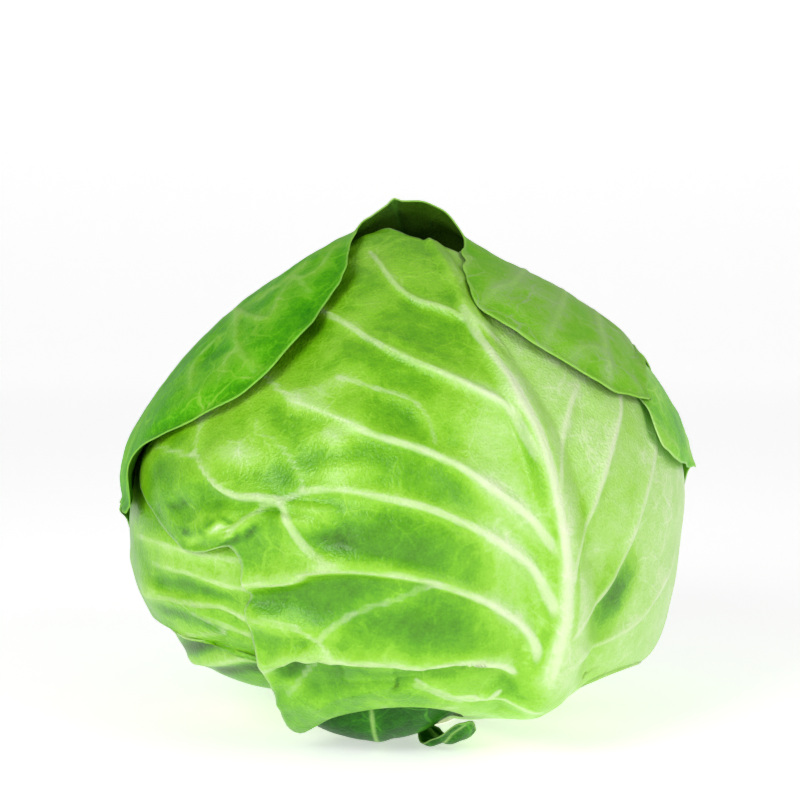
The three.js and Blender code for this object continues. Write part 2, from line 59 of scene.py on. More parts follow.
import bmesh
import bpy
import numpy as np
from mathutils import Vector

bl_info = {
    "name": "Green Cabbage Head",
    "version": (1, 0, 0),
    "blender": (4, 5, 0),
    "location": "3D View > Sidebar > Cabbage",
    "description": "Builds a head of green cabbage from veined, overlapping leaves",
    "category": "Add Mesh",
}

# ------------------------------------------------------------------ the head's outline

MM = 0.001       # a millimetre in the scene's metres
METRE = 1000.0   # a metre in millimetres
HEAD_MIDDLE = np.array([0.0, 0.0, 82.0])
STEM_RADIUS = 20.0
STEM_TOP = 18.3
HEART_DEPTH = 17.0

# rise, radius, and how much further the right shoulder stands out
OUTLINE = np.array([
    [0, 78, 0], [15, 79.5, 0], [25, 82.5, 1], [35, 87, 2], [42, 92, 3], [50, 97.5, 4],
    [56, 100, 3.5], [62, 101, 2.5], [70, 100.5, 1], [80, 99.5, 0], [90, 98.8, 0.8],
    [100, 96.9, 1.6], [112, 92.8, 3], [124, 88.6, 3.2], [136, 85.4, 2.4], [150, 84.2, 0.8],
    [165, 85, 0], [180, 87, 0],
], dtype=float)


def even_row(count, start, rib, end, arch=0.0):
    """A cage row with `count` even steps to each side of its midrib, arched up between rib and margin."""
    start, rib, end = (np.array(x, dtype=float) for x in (start, rib, end))

    def side(tip):
        s = (np.arange(count) + 1)[:, None] / count
        points = rib + (tip - rib) * s
        points[:, 1] += arch * 4 * (s * (1 - s))[:, 0]
        return points

    return np.vstack([side(start)[::-1], rib, side(end)]).tolist()


# The leaves, as their solids have them.
# "layer": how far the leaf lies outside the head's outline, and "columns": how many columns its cage
#     has to the left and right of its midrib.
# "rib": rise, height and half width of the midrib.
# "aside": rise, and how far the midrib runs to the right of the cage's middle column.
# "cage": rows from stalk to free margin, each with its points' turn, rise and further reach.
# "veins": row by row, the height of the side vein on the left and on the right.
# "sag": row by row, how deep the left margin sinks between this row and the next.
LEAVES = {
    "front_leaf": {
        "thickness": 1.2, "layer": 0, "columns": [4, 3],
        "rib": [[15, 1.5, 7], [30, 1.5, 9], [42, 1.5, 11], [52, 6, 12.5], [62, 8.5, 12], [75, 7, 9],
                [95, 5, 6.5], [120, 3, 4.5], [150, 2, 3.5], [170, 1.5, 3]],
        "aside": [[15, 0], [72, 0], [80, 0.5], [86, 1.6], [95, 1.4], [106, 2.2], [113, 1.2], [120, 0.8],
                  [131, -1], [170, 0]],
        "cage": [
            [[15, 15.6], [21, 15.4], [27, 15.2], [32, 15.1], [37, 15.1], [43, 15.1], [50, 15.3],
             [58, 15.6]],
            [[21, 31], [24, 31], [27, 30.5], [30, 30], [34, 30], [38, 30], [43, 30.5], [48, 31]],
            [[15, 48], [18, 48], [21, 47], [25, 46], [30, 44], [35, 46.5], [39, 50], [42, 54]],
            [[-2, 52.5, 1], [4, 52, 0.5], [11, 51], [19, 49], [29, 47], [36, 51], [43, 55.5], [51, 58.5]],
            [[-19, 46, 3], [-8, 53, 0.5], [2, 54], [14, 52], [29, 49], [38, 54], [49, 57.5], [63, 58, 1]],
            [[-34, 39, 10], [-20, 50, 3], [-6, 56, 0.5], [10, 55], [30, 51], [41, 56], [56, 58.5, 1],
             [76, 58.5, 2]],
            [[-33, 49, 4], [-14, 55, 1], [1, 59], [13, 57], [30, 53], [44, 59], [63, 63], [88, 67]],
            [[-31, 56, 1], [-16, 58, -1], [0, 60.5], [13, 59.5], [30, 54.5], [46, 60], [66, 67],
             [93, 80, -0.5]],
            [[-31, 62, 2], [-18, 66, 4], [-1, 63, 1], [12, 64], [30.5, 56], [48, 65], [67, 74],
             [96, 92, -1.5]],
            [[-31, 72, 2], [-17, 70, 3], [-4, 70], [9, 69], [30, 58.5], [46, 68], [65, 80],
             [96, 103, -1.5]],
            [[-31, 78, 1], [-15, 82, 2], [0, 81], [14, 77], [30, 62], [43, 71], [61, 85], [92, 112, -1.5]],
            [[-33, 85, 2], [-24, 91, 2], [-6, 87], [14, 81], [30.5, 65], [40, 74], [52, 89],
             [75, 114, -0.5]],
            [[-45, 83, 1], [-30, 92, 1], [-9, 92], [13, 85], [31, 67], [39, 77], [49, 92], [71, 116, -0.5]],
            [[-63, 92], [-38, 96, 1], [-17, 96], [9, 91], [31, 70], [38, 80], [47, 94], [69, 118, -0.5]],
            [[-68, 99], [-38, 104], [-12, 102], [12, 96], [30.5, 75], [37, 84], [45, 98], [67, 120, -0.5]],
            [[-64, 106], [-38, 115], [-10, 109], [10, 100], [29.5, 80], [36, 88], [44, 101],
             [65, 123, -0.5]],
            [[-58, 128], [-28, 139], [-3, 126], [13, 117], [27, 95], [31, 103], [37, 112], [55, 135]],
            [[-75, 150], [-45, 160, 2], [-11, 155, 1], [8, 140], [22, 126], [30, 133], [40, 142],
             [58, 150]],
            [[-100, 166], [-75, 173, 4], [-40, 174, 5], [-5, 171, 5], [25, 165, 3], [50, 163, 1], [75, 164],
             [100, 166]],
        ],
        "sag": [0, 0, 0, 0, 0, 0, 1, 1.5, 1.5, 3, 1.5, 1, 1, 0, 0, 0, 0, 0],
    },
    "hood_leaf": {
        "thickness": 1.2, "layer": 2.4, "columns": [7, 7],
        "rib": [[15, 1.5, 7], [30, 2.5, 11], [50, 7, 13], [90, 5.5, 9], [130, 3.5, 6], [170, 1, 3]],
        "cage": [
            even_row(7, [-164, 15.6, -1.5], [-180, 15.2, -1.5], [-196, 15.6, -1.5]),
            even_row(7, [-150, 33, -1], [-180, 30, -1], [-210, 33, -1]),
            even_row(7, [-109, 68, -1.5], [-180, 50, 0], [-250, 68, 0], 1),
            even_row(7, [-99, 80, -1.5], [-180, 70, 0], [-254, 88, 0], 2),
            even_row(7, [-91, 84.5, -1.5], [-180, 90, 0], [-258, 105, 0.5], 4),
            even_row(7, [-85, 87, -1.5], [-180, 110, 0], [-264, 117, 1], 7),
            even_row(7, [-79, 88, -1], [-180, 131, 0], [-275, 122, 1], 10),
            [[-73, 88, -0.5], [-77, 102, -1], [-84, 120, -0.5], [-95, 134], [-112, 144], [-134, 149],
             [-160, 150], [-180, 151], [-200, 151], [-222, 149], [-241, 145], [-256, 139], [-268, 132],
             [-278, 124, 0.5], [-286, 118, 1]],
            [[-68, 88.5, 0.3], [-69, 100, 0.5], [-68, 112, 0], [-66, 124], [-66, 138], [-76, 153],
             [-110, 165, 1], [-180, 169, 3], [-232, 168, 4], [-262, 163, 2], [-283, 155], [-296, 142],
             [-300, 130], [-297, 120, 0.5], [-293, 114, 1.5]],
            [[-63, 89.5, 1.5], [-63, 100, 3], [-50, 107, 2.5], [-36, 114.5, 3], [-29, 124.5, 3.5],
             [-24, 145, 4], [-60, 170, 6], [-60, 178, 11.5], [-279, 172, 10], [-286, 166, 4],
             [-318, 159, 1], [-336, 139.5, 1.5], [-326, 125, 2], [-312, 114, 2], [-297, 110, 2.5]],
        ],
        "veins": [[0, 0], [0, 0], [1, 1], [1.4, 1.4], [1.4, 1.4], [1.2, 1.2], [1, 1], [0.8, 0.8], [0, 0],
                  [0, 0]],
    },
    "side_leaf": {
        "thickness": 1.0, "layer": 1.5, "columns": [3, 3],
        "rib": [[15, 0.5, 6], [50, 0.8, 8], [90, 0.5, 6], [140, 0.3, 4]],
        "cage": [
            even_row(3, [113, 15.8, -2], [125, 15.6, -2], [135, 15.8, -2]),
            even_row(3, [110, 33, -3], [125, 30, -3.5], [142, 33, -4]),
            even_row(3, [105, 60, -2.5], [125, 50, -4], [150, 56, -5]),
            even_row(3, [100, 80, -1.2], [125, 72, -3.5], [152, 76, -4]),
            [[90, 93, 0.5], [100, 94.5, -0.5], [111, 93, -2], [124, 90, -3.5], [136, 92, -4], [150, 96, -4],
             [160, 98, -4]],
            [[73, 96, 1.5], [88, 104, 0.5], [105, 107, -2], [120, 108, -3.5], [132, 110, -4],
             [146, 113, -4], [158, 115, -4]],
            [[60, 100.5, 1.5], [74, 110, 0.5], [94, 117, -1], [112, 122, -3], [126, 125, -4],
             [140, 127, -4], [154, 128, -4]],
            [[61, 113, -0.5], [73, 122, -0.5], [88, 129, -1], [103, 134, -2.5], [118, 137, -3.5],
             [134, 139, -3.5], [148, 140, -3.5]],
        ],
        "veins": [[0, 0], [0, 0], [0.4, 0.4], [0.4, 0.4], [0.4, 0.4], [0.4, 0.4], [0, 0], [0, 0]],
    },
    "under_leaf": {
        "thickness": 1.0, "layer": -5, "columns": [4, 2],
        "rib": [[15, 0.3, 6], [50, 0.8, 8], [90, 0.8, 6], [140, 0.3, 4]],
        "cage": [
            [[-15, 17], [-12, 16.8], [-9, 16.6], [-7, 16.5], [-5, 16.5], [0, 16.7], [5, 17]],
            [[-23, 32], [-18, 31.5], [-14, 31], [-10, 30], [-5, 30], [2, 31], [9, 32]],
            [[-31, 58, 0], [-24, 55], [-17, 53], [-11, 51], [-5, 49], [6, 52], [17, 56]],
            [[-55, 64, 4], [-42, 62, 2], [-29, 59], [-17, 56], [-5, 54], [10, 57], [25, 60]],
            [[-82, 65, 4], [-64, 73, 4.5], [-48, 71, 3.5], [-30, 66, 0.5], [-5, 60], [12, 62], [30, 66]],
            [[-110, 67, 3], [-84, 75, 3.5], [-63, 79, 3], [-37, 75, 1.5], [-5, 67], [15, 70], [34, 73]],
            [[-107, 84, 1], [-82, 84, 2], [-60, 85, 2.5], [-38, 81, 1], [-5, 76], [18, 78], [38, 81]],
            [[-103, 97], [-80, 97, 1], [-56, 95, 0.5], [-32, 92], [-5, 88], [19, 90], [42, 94]],
            [[-98, 112], [-76, 113], [-52, 113], [-28, 111], [-5, 108], [18, 110], [40, 113]],
            [[-92, 127], [-70, 131], [-47, 133], [-25, 132], [-5, 130], [14, 131], [34, 132]],
        ],
        "sag": [0, 0, 0, 0, 0.5, 0.5, 0, 0, 0],
    },
    "low_leaf": {
        "thickness": 1.0, "layer": -9, "columns": [3, 4],
        "rib": [[15, 0.3, 6], [50, 1, 8], [90, 0.8, 6], [140, 0.3, 4]],
        "cage": [
            [[-112, 17.8], [-108, 17.6], [-104, 17.5], [-100, 17.4], [-96, 17.5], [-92, 17.6], [-88, 17.7],
             [-84, 17.8]],
            [[-121, 32], [-114, 31], [-107, 30], [-100, 30], [-92, 30], [-84, 31], [-76, 31], [-66, 32]],
            [[-136, 50], [-124, 49], [-112, 48], [-100, 47], [-90, 45, 1], [-77, 43, 2], [-64, 41.5, 3],
             [-50, 40, 3]],
            [[-138, 60], [-125, 58], [-112, 56], [-100, 54, 1], [-86, 51.5, 6], [-70, 50, 9],
             [-54, 47, 8.5], [-38, 44.5, 5.5]],
            [[-139, 66], [-126, 64], [-113, 62], [-100, 60, 2], [-82, 58, 5.5], [-64, 56.5, 6.5],
             [-46, 54, 5.5], [-28, 51, 2]],
            [[-140, 72], [-127, 70], [-114, 68], [-100, 67], [-82, 64, 2.5], [-62, 62, 2.5], [-44, 60, 1.5],
             [-26, 58, 0.5]],
            [[-140, 86], [-127, 85], [-114, 84], [-100, 82], [-82, 81], [-62, 81], [-42, 80], [-22, 79]],
            [[-138, 100], [-126, 101], [-113, 101], [-100, 100], [-82, 101], [-62, 102], [-42, 102],
             [-22, 101]],
            [[-132, 118], [-122, 121], [-111, 122], [-100, 122], [-82, 123], [-62, 124], [-44, 124],
             [-26, 122]],
        ],
    },
    "base_leaf": {
        "thickness": 1.0, "layer": 0, "columns": [3, 3],
        "rib": [[15, 0.4, 5], [35, 0.6, 5], [60, 0.3, 3]],
        "cage": [
            [[-22, 15.6], [-17, 15.4], [-13, 15.2], [-8, 15.2], [-3, 15.2], [3, 15.4], [9, 15.6]],
            [[-33, 26, 0], [-25, 26, 1.5], [-16, 26, 2.5], [-8, 26, 2.5], [-1, 26, 2], [8, 26, 1],
             [15, 26, -1.5]],
            [[-37, 33, 3], [-29, 34, 6], [-18, 35, 8], [-8, 35, 8.5], [1, 35, 7], [11, 34, 3],
             [18.5, 34, -2]],
            [[-36, 40, 2.5], [-29, 41, 5], [-19, 42, 6.5], [-8, 42, 6], [3, 42, 4], [12, 41, 0.5],
             [19, 40, -2.5]],
            [[-34, 46, -2], [-27, 48, -2], [-18, 49, -1.5], [-8, 50, -2], [3, 50, -2], [11, 48, -2.7],
             [18, 46, -3.2]],
            [[-33, 52, -3.2], [-27, 54, -3.2], [-18, 56, -3.2], [-8, 57, -3], [2, 56, -3], [10, 54, -3.5],
             [17, 51, -3.9]],
        ],
    },
    "torn_leaf": {
        "thickness": 0.9, "layer": 0, "columns": [2, 2],
        "rib": [[15, 0.2, 3], [50, 0.3, 3]],
        "cage": [
            [[11.5, 19, 1], [12, 19, 1.5], [12.5, 19, 1.5], [13, 19, 1.5], [13.5, 19, 1.5]],
            [[7, 27, 4], [10, 27, 4.5], [13, 27, 3.5], [15, 27, 4], [17, 27, 3]],
            [[7, 33, 8.5], [10, 34, 10], [14, 35, 8.5], [17, 34, 9.5], [20, 33, 8]],
            [[10, 37, 8], [13, 39, 6.5], [16, 39.5, 5], [20, 39.5, 6], [23.5, 36.5, 7]],
            [[13, 41, 5.5], [16, 43, 3], [19, 43.5, 2], [21.5, 42.5, 2.5], [23.5, 40, 4.5]],
        ],
    },
    "back_leaf": {
        "thickness": 1.0, "layer": -12.5, "columns": [3, 3],
        "rib": [[15, 0.3, 6], [50, 0.8, 8], [90, 0.8, 6], [140, 0.3, 4]],
        "cage": [
            even_row(3, [-236, 18.6, 0], [-222, 18.2, 0], [-208, 18.6, 0]),
            even_row(3, [-250, 32, 0], [-222, 30, 0], [-194, 32, 0]),
            even_row(3, [-282, 54, 0], [-222, 50, 0], [-162, 54, 0], 1),
            even_row(3, [-288, 76, 0], [-222, 74, 0], [-156, 76, 0], 1),
            even_row(3, [-287, 97, 0], [-222, 98, 0], [-157, 97, 0]),
            even_row(3, [-278, 120, 0], [-222, 124, 0], [-166, 120, 0]),
            even_row(3, [-268, 142, 0], [-222, 148, 0], [-176, 142, 0], 2),
            [[-285, 158], [-271, 163], [-252, 167], [-222, 169], [-192, 167], [-172, 163], [-158, 158]],
            [[-318, 163, 1], [-330, 168, 2], [-350, 172, 2], [-20, 173, 2], [-55, 173, 2], [-90, 170, 2],
             [-120, 165, 1]],
        ],
        "veins": [[0, 0], [0, 0], [0.5, 0.5], [0.5, 0.5], [0.5, 0.5], [0.4, 0.4], [0, 0], [0, 0], [0, 0]],
    },
    "right_leaf": {
        "thickness": 1.0, "layer": -8, "columns": [3, 3],
        "rib": [[15, 0.3, 6], [50, 0.8, 8], [90, 0.8, 6], [140, 0.3, 4]],
        "cage": [
            even_row(3, [66, 17.6, 0], [79, 17.2, 0], [92, 17.6, 0]),
            even_row(3, [55, 32, 0], [79, 30, 0], [103, 32, 0]),
            even_row(3, [30, 54, 0], [79, 50, 0], [128, 54, 0], 1),
            even_row(3, [24, 76, 0], [79, 74, 0], [134, 76, 0], 1),
            even_row(3, [22, 97, 0], [79, 98, 0], [134, 97, 0]),
            even_row(3, [25, 118, 0], [79, 122, 0], [128, 118, 0]),
            even_row(3, [32, 134, 0], [79, 140, 0], [120, 134, 0]),
        ],
        "veins": [[0, 0], [0, 0], [0.5, 0.5], [0.5, 0.5], [0.5, 0.5], [0.4, 0.4], [0, 0]],
    },
}


# What the solid leaves out, leaf by leaf.
# "veins": path, width at its start and at its end, height, how far the raised part spreads, and
#     how far the blade drops beside it, below zero for the path's other side.
# "creases": path, depth, reach, the side of the path where the blade drops, and at times the
#     height of the other side's shoulder and the share of the path over which its ends fade.
# "bumps": place, half length, half width, direction, height and tone; some tones paint a highlight on a
# swelling or shade in a dent.
# "tints": path, reach and tone; a tone above zero is paler. Some are the leaf's own colours, others painted
# shade in folds and painted light.
DETAIL = {
    "front_leaf": {
        "veins": [
            ([(24.5, 115.5), (25, 112), (26.5, 106.5), (27, 102.5), (27.5, 98.5), (28, 94), (28.5, 89)],
              3.6, 3.2, 0, 4.0, 0),
            ([(28.5, 89), (29, 85.5), (29.8, 81), (30, 77), (30, 73), (29.6, 70), (29.4, 66.5), (29, 63)],
              3.2, 1.6, 0, 4.0, 0),
            ([(24.5, 115.5), (24, 118), (22, 124), (20.5, 130.5), (19, 138)], 3.6, 1.4, 0, 4.0, 0),
            ([(33.5, 53), (25, 54.5), (16.5, 55.5), (10, 56), (6.5, 58), (3, 59.5)], 1.6, 0.7, 1.0, 4.5, 1),
            ([(13.5, 53.5), (9.5, 55), (6, 57), (2.5, 58.5)], 1.0, 0.6, 0.6, 3.0, 0.4),
            ([(13, 51), (5.5, 49.5), (-0.5, 50.5), (-6, 52.5)], 0.9, 0.6, 0.6, 3.0, 0.4),
            ([(24.5, 60.5), (23.5, 61.5), (20, 63.5), (14.5, 64.3), (9.5, 64), (3, 63.5), (-3, 64.5),
              (-9, 65), (-12.5, 65.5), (-18, 65), (-21.5, 64.5), (-24.5, 63), (-29, 60.5), (-32, 59.5)],
              2.8, 1.7, 1.8, 5.0, 2.6),
            ([(21.5, 57), (17.5, 54.8), (13, 55), (8, 57.5), (4, 59)], 1.6, 1.0, 0.8, 4.0, 0.6),
            ([(-16, 68.5), (-20, 70.5), (-23, 71), (-26, 71.5), (-28.5, 71.7), (-31, 71.5)],
              0.9, 0.6, 1.0, 3.0, 0.8),
            ([(-16, 68.5), (-14.5, 67), (-12.5, 65.5)], 1.0, 1.0, 0.8, 3.0, 0),
            ([(-16, 68.5), (-14, 70.5), (-10, 73), (-6.5, 74.5), (-3, 75.5), (0.5, 77), (4, 78.5)],
              1.3, 0.8, 1.0, 4.0, 0.6),
            ([(-17.5, 63), (-20.5, 60), (-24, 56.5), (-28.5, 52.5)], 0.6, 0.4, 0.4, 2.5, 0),
            ([(26, 63), (26.2, 65.5), (25.8, 68), (23, 71), (19, 73.8), (14.5, 76.3), (10.5, 78), (7, 79.3),
              (3.5, 80.3), (-0.5, 81.2), (-4.5, 81.5), (-11.5, 82), (-16.5, 81.5), (-19.5, 80), (-22, 79),
              (-27.5, 78.5), (-31, 78)], 2.8, 2.0, 1.9, 5.0, 2.4),
            ([(27.5, 71.5), (28, 74), (27.3, 76.5), (25, 80.8), (22, 83.7), (18, 86.5), (14.5, 88.7),
              (8.5, 91.7), (3, 93.7), (-4, 95.3), (-10.5, 96.3), (-16, 96.2), (-20, 95.3), (-22.5, 94)],
              2.8, 2.0, 1.8, 4.5, 1.8),
            ([(-22.5, 94), (-27.5, 94.3), (-32.5, 94.3), (-36.5, 95.8), (-39.5, 97.5), (-42, 99.2),
              (-45, 101.2)], 2.2, 1.9, 1.2, 3.5, 1.2),
            ([(-45, 101.2), (-46.5, 104), (-47.5, 107), (-49, 110)], 1.3, 1.0, 0.4, 2.5, 0),
            ([(-44.5, 100.8), (-48.5, 101), (-54.5, 101.3), (-61.5, 101.5)], 1.3, 1.0, 0.4, 2.5, 0.3),
            ([(-23, 93.5), (-25.5, 93), (-27.5, 91.5), (-30, 90), (-32.5, 88), (-34, 87)],
              1.1, 0.9, 1.0, 2.5, 0.9),
            ([(-22.5, 93.5), (-21, 91), (-19, 87.5), (-17, 85.5), (-15.5, 84.5), (-13.5, 83.5),
              (-11.5, 82.5)], 2.0, 2.0, 1.2, 3.0, 0.5),
            ([(-18.5, 97), (-20, 99.5), (-22.5, 102.5), (-24.5, 104), (-27, 105.5), (-30, 107),
              (-32.5, 109)], 1.2, 1.0, 0.6, 2.5, 0.4),
            ([(28.3, 82), (27.3, 85), (26.3, 87.3), (24.5, 90), (22, 92.5), (18, 95.5), (14.5, 98),
              (11, 100.5), (7, 102.5), (1.5, 104.7), (-4.5, 106.3), (-9, 108.2), (-15, 110.8), (-22, 113),
              (-28.5, 116), (-34.5, 119.5)], 2.2, 1.8, 1.4, 4.0, 1.5),
            ([(27, 97.5), (25.5, 101.5), (24, 106.5), (22, 112), (16, 116), (9, 120), (1.5, 124),
              (-7, 128.5), (-15.5, 133.5), (-27, 138.5), (-41, 141), (-59.5, 142)],
              1.8, 1.1, 1.2, 3.8, 1.5),
            ([(26.5, 125), (25.5, 128), (24, 130), (21, 133.5), (13, 139), (5.5, 142), (-2, 147),
              (-11.5, 155.5), (-24.5, 162.5)], 1.4, 1.0, 1.0, 3.2, 1),
            ([(-15, 119.5), (-10.5, 118.5), (-6, 117), (-1, 115.5), (3, 113.5), (5.5, 109.5), (6.5, 105)],
              1.2, 0.8, 0.3, 2.0, 0),
            ([(32, 64.3), (36.5, 65), (43, 65.3), (49, 66.5), (53.5, 67.7), (57, 69.3), (60.5, 71.8),
              (66.5, 75.5), (72, 79)], 1.0, 1.6, 0.9, 4.0, -0.8),
            ([(30.5, 67.5), (32, 70), (34.8, 72), (39, 74), (42.3, 77), (45.3, 81), (48, 85), (50.3, 89),
              (53.3, 93.5), (57, 98), (61.5, 102.5), (65, 108)], 1.1, 2.4, 1.2, 4.5, -1.0),
            ([(30.8, 77), (31, 80), (31.7, 83.3), (33.2, 86), (35.3, 89), (37.6, 92.5), (40.3, 96.5),
              (43.5, 101), (47.5, 105.5), (52.5, 110.5), (56, 115)], 1.1, 2.4, 1.1, 4.5, -0.8),
            ([(28.3, 94), (29.2, 97.5), (30.6, 101), (32.5, 104.7), (34.8, 108.3), (38, 112.3),
              (42.5, 116)], 1.2, 2.0, 0.8, 4.0, -0.5),
        ],
        "creases": [
            ([(27.5, 66), (27.5, 72), (27.5, 79), (27, 86.5), (25.5, 95.5), (24.5, 105.5), (23.5, 115.5)],
              2.2, 9.0, 1),
            ([(4, 79.5), (-4.5, 81.5), (-11.5, 82), (-16.5, 81.5), (-19.5, 80), (-22, 79), (-27.5, 78.5),
              (-31, 78)], 3.0, 6.0, 1, 0.0, 0.35),
            ([(-12, 65.5), (-18, 65), (-21.5, 64.5), (-24.5, 63), (-29, 60.5)], 4.0, 4.5, 1),
            ([(-21, 94), (-27.5, 94), (-33.5, 94), (-37.5, 95.5), (-42.5, 99.5)], 1.4, 3.0, 1),
            ([(-36, 85.5), (-34, 86), (-32.5, 86.5), (-30, 88), (-27, 89.5)], 1.6, 2.0, -1),
            ([(-51, 91), (-47.5, 92.2), (-44, 93.5)], 0.9, 1.6, -1),
            ([(-60, 92), (-54, 86), (-47.5, 85), (-43, 85.5), (-39, 87.5)], 1.0, 2.5, -1),
            ([(-3, 57.5), (-1.5, 56.5), (3, 59), (8, 60), (13, 59.5)], 1.2, 3.0, 1),
        ],
        "bumps": [
            # these dents are darker as well: painted shade
            ((-23.5, 60.5), 5, 3, 20, -2.5, -0.4),
            ((-26, 74.5), 9, 3.5, 30, -1.2, -0.12),
            ((-18.5, 83.2), 5.5, 2.2, 20, -1.2, -0.2),
            ((-13, 87.3), 9, 3.5, 12, -1.0, -0.2),
            ((-15.5, 91.5), 8, 3.2, -5, 0.6, 0.22),
            ((-2, 87.5), 24, 8, -8, 1.0, -0.3),
            ((-40, 108), 22, 14, 0, 0, 0.16),
            ((3.5, 71.5), 20, 5, -8, 1.2, -0.35),
            ((-8, 75), 12, 4, 0, 0.6, 0.05),
            # painted highlights: these swellings are paler where the light's gloss falls on them
            ((-31.5, 59), 4, 3, 70, 0.8, 0.3),
            ((-32, 102), 9, 5, -10, 0.8, 0.45),
            ((-14, 106.5), 9, 4.5, 10, 0.8, 0.4),
            ((-11.5, 99.5), 10, 3.2, 5, 0.6, 0.4),
            ((-18, 117), 12, 6, 20, 0.8, 0.4),
            ((-35.5, 89.8), 7, 4, 50, 0.6, 0.12),
            ((-55.5, 95.5), 7, 8, 60, 0.4, -0.15),
            ((45.5, 75), 13, 8, 55, 0.3, -1.05),
            ((34, 90), 12, 4, 70, 0.0, -0.3),
        ],
        "tints": [
            ([(23.5, 112), (24.3, 105), (25.2, 99.5), (26, 94), (27, 89.5), (27.3, 85)], 2.4, -0.45),
            # the darker of these tints are painted shade in the folds of the left margin
            ([(-52, 90.5), (-48, 91.8), (-43.5, 93.3)], 1.6, -0.45),
            ([(-36, 84.9), (-33, 85.9), (-30, 87.4), (-26, 89.3)], 1.9, -0.6),
            ([(-39, 87), (-37, 88.8), (-34.5, 89.9), (-32, 88.6)], 1.6, -0.45),
            ([(-38, 86.2), (-36.8, 87.6), (-34.6, 88.6), (-33.2, 87.6), (-33.8, 86.3)], 1.2, 0.5),
            ([(-47, 84.2), (-43, 85), (-40, 86.2), (-37.5, 87.4)], 1.4, 0.45),
            ([(-46, 86), (-42, 86.8), (-39.5, 88)], 1.6, -0.5),
            ([(27, 90), (27.3, 85), (27.6, 81), (27.7, 77), (27.8, 72), (26.8, 66.5), (25.5, 60)],
              2.4, -0.45),
            ([(32, 84), (32, 79), (31.9, 73), (31.5, 68)], 2.0, -0.3),
            ([(18, 60), (25, 57), (31, 55), (37, 57)], 10.0, -0.3),
            # painted light on the front leaf along the hood's margin, lightening the shadow the hood casts
            # there
            ([(-55, 108), (-40, 112), (-28, 121), (-18, 131), (-10, 141), (-4, 150)], 9.0, 0.22),
            ([(-30, 166), (-12, 160), (5, 152), (20, 143)], 14.0, 0.16),
            ([(19, 112), (18, 104), (19, 96), (20, 88), (20, 80), (18, 72), (17, 66)], 15.0, 0.3),
        ],
    },
    "hood_leaf": {
        "veins": [
            ([(-88, 137), (-73, 136.5), (-60.5, 133), (-51, 127.5), (-44.5, 124), (-39.5, 121.5),
              (-35.5, 119)], 1.6, 1.2, 0.6, 2.8, 0.5),
            ([(-79.5, 137), (-59.5, 135.5), (-48, 134), (-43.5, 134.5), (-45, 137.5), (-49.5, 143),
              (-55, 149)], 1.5, 1.3, 0.6, 2.8, 0.5),
            ([(-55, 149), (-46.5, 147.5), (-41.5, 149), (-40, 151), (-41.5, 154.5), (-49.5, 160.5)],
              1.5, 1.2, 0.5, 2.8, 0),
            ([(-47.5, 147.5), (-37, 143.5), (-33.5, 142)], 1.1, 0.9, 0.4, 2.5, 0),
            ([(-65.5, 127), (-65.5, 123.5), (-64, 120), (-59, 117), (-54.5, 114)], 1.5, 1.1, 0.6, 2.8, 0.4),
            ([(-46.5, 124.5), (-49.5, 123), (-46.5, 119.5), (-46, 117)], 1.3, 1.0, 0.4, 2.5, 0),
            ([(50, 159.5), (30, 153)], 1.3, 1.0, 0.4, 2.5, 0),
            ([(89.5, 150.5), (48.5, 145.5), (36.5, 143.5), (26, 138)], 1.6, 1.2, 0.6, 2.8, 0),
            ([(90, 141), (63.5, 137.5), (49.5, 132.5), (35.5, 124)], 1.6, 1.2, 0.6, 2.8, -0.4),
            ([(90, 133), (69, 129.5), (59.5, 124), (56.5, 122.5), (52.5, 118), (48.5, 114)],
              1.6, 1.2, 0.6, 2.8, -0.4),
            ([(56.5, 122.5), (52.5, 123.5), (48, 123.5), (41.5, 121)], 1.3, 1.0, 0.4, 2.5, 0),
        ],
        "creases": [
            ([(-34, 120), (-37, 118), (-41, 115.3), (-47.5, 111.5), (-55.5, 108), (-64, 105)], 1.0, 2.5, 1),
        ],
        "tints": [
            ([(-80, 139), (-66, 144), (-60, 149), (-56, 156)], 6.0, 0.25),
        ],
    },
    "under_leaf": {
        "veins": [
            ([(-33, 70), (-36, 71), (-39.5, 72), (-44.5, 72), (-50, 72), (-58, 72), (-70, 71)],
              1.5, 1.0, 1.2, 3.5, 2.4),
            ([(-32, 66), (-38, 67.5), (-44, 69), (-49, 70)], 1.0, 0.6, 0.8, 3.0, 1.4),
            ([(-31, 76), (-39, 77), (-46, 78), (-53.5, 78.3), (-60, 78.5)], 0.7, 0.6, 0.5, 2.5, 1.2),
            ([(-33, 81.5), (-40, 82), (-48, 82.5), (-57, 83), (-68, 83)], 0.7, 0.5, 0.4, 2.5, 0.5),
            ([(-40, 66.5), (-48, 65), (-57, 63.5)], 0.7, 0.5, 0.5, 2.5, 0.6),
        ],
        "tints": [
            # painted highlight on the upper fold, and below it painted shade in the creases
            ([(-66, 81), (-57, 81), (-48.5, 80.5), (-40, 79.5), (-30, 78.5)], 6.0, 0.22),
            ([(-64, 68.5), (-54, 69), (-46, 68.5), (-38, 65.5)], 3.5, -0.35),
            ([(-60, 75), (-50, 75.5), (-40, 74.5), (-34, 74)], 3.0, -0.2),
        ],
    },
    "low_leaf": {
        "veins": [
            ([(-30, 57), (-34, 57), (-40, 57.5), (-45, 57), (-60, 54.5), (-75, 54)],
              1.2, 0.9, 1.0, 3.0, 1.4),
        ],
        "tints": [
            # painted shade: darker bands above and below the vein, in the shadow of the leaf over it
            ([(-26, 61), (-40, 61), (-50, 60.5), (-62, 58), (-75, 56)], 4.5, -0.55),
            ([(-26, 53), (-40, 54), (-50, 53), (-62, 51)], 4.0, -0.45),
        ],
    },
}


# ------------------------------------------------------------------ shapes in numbers

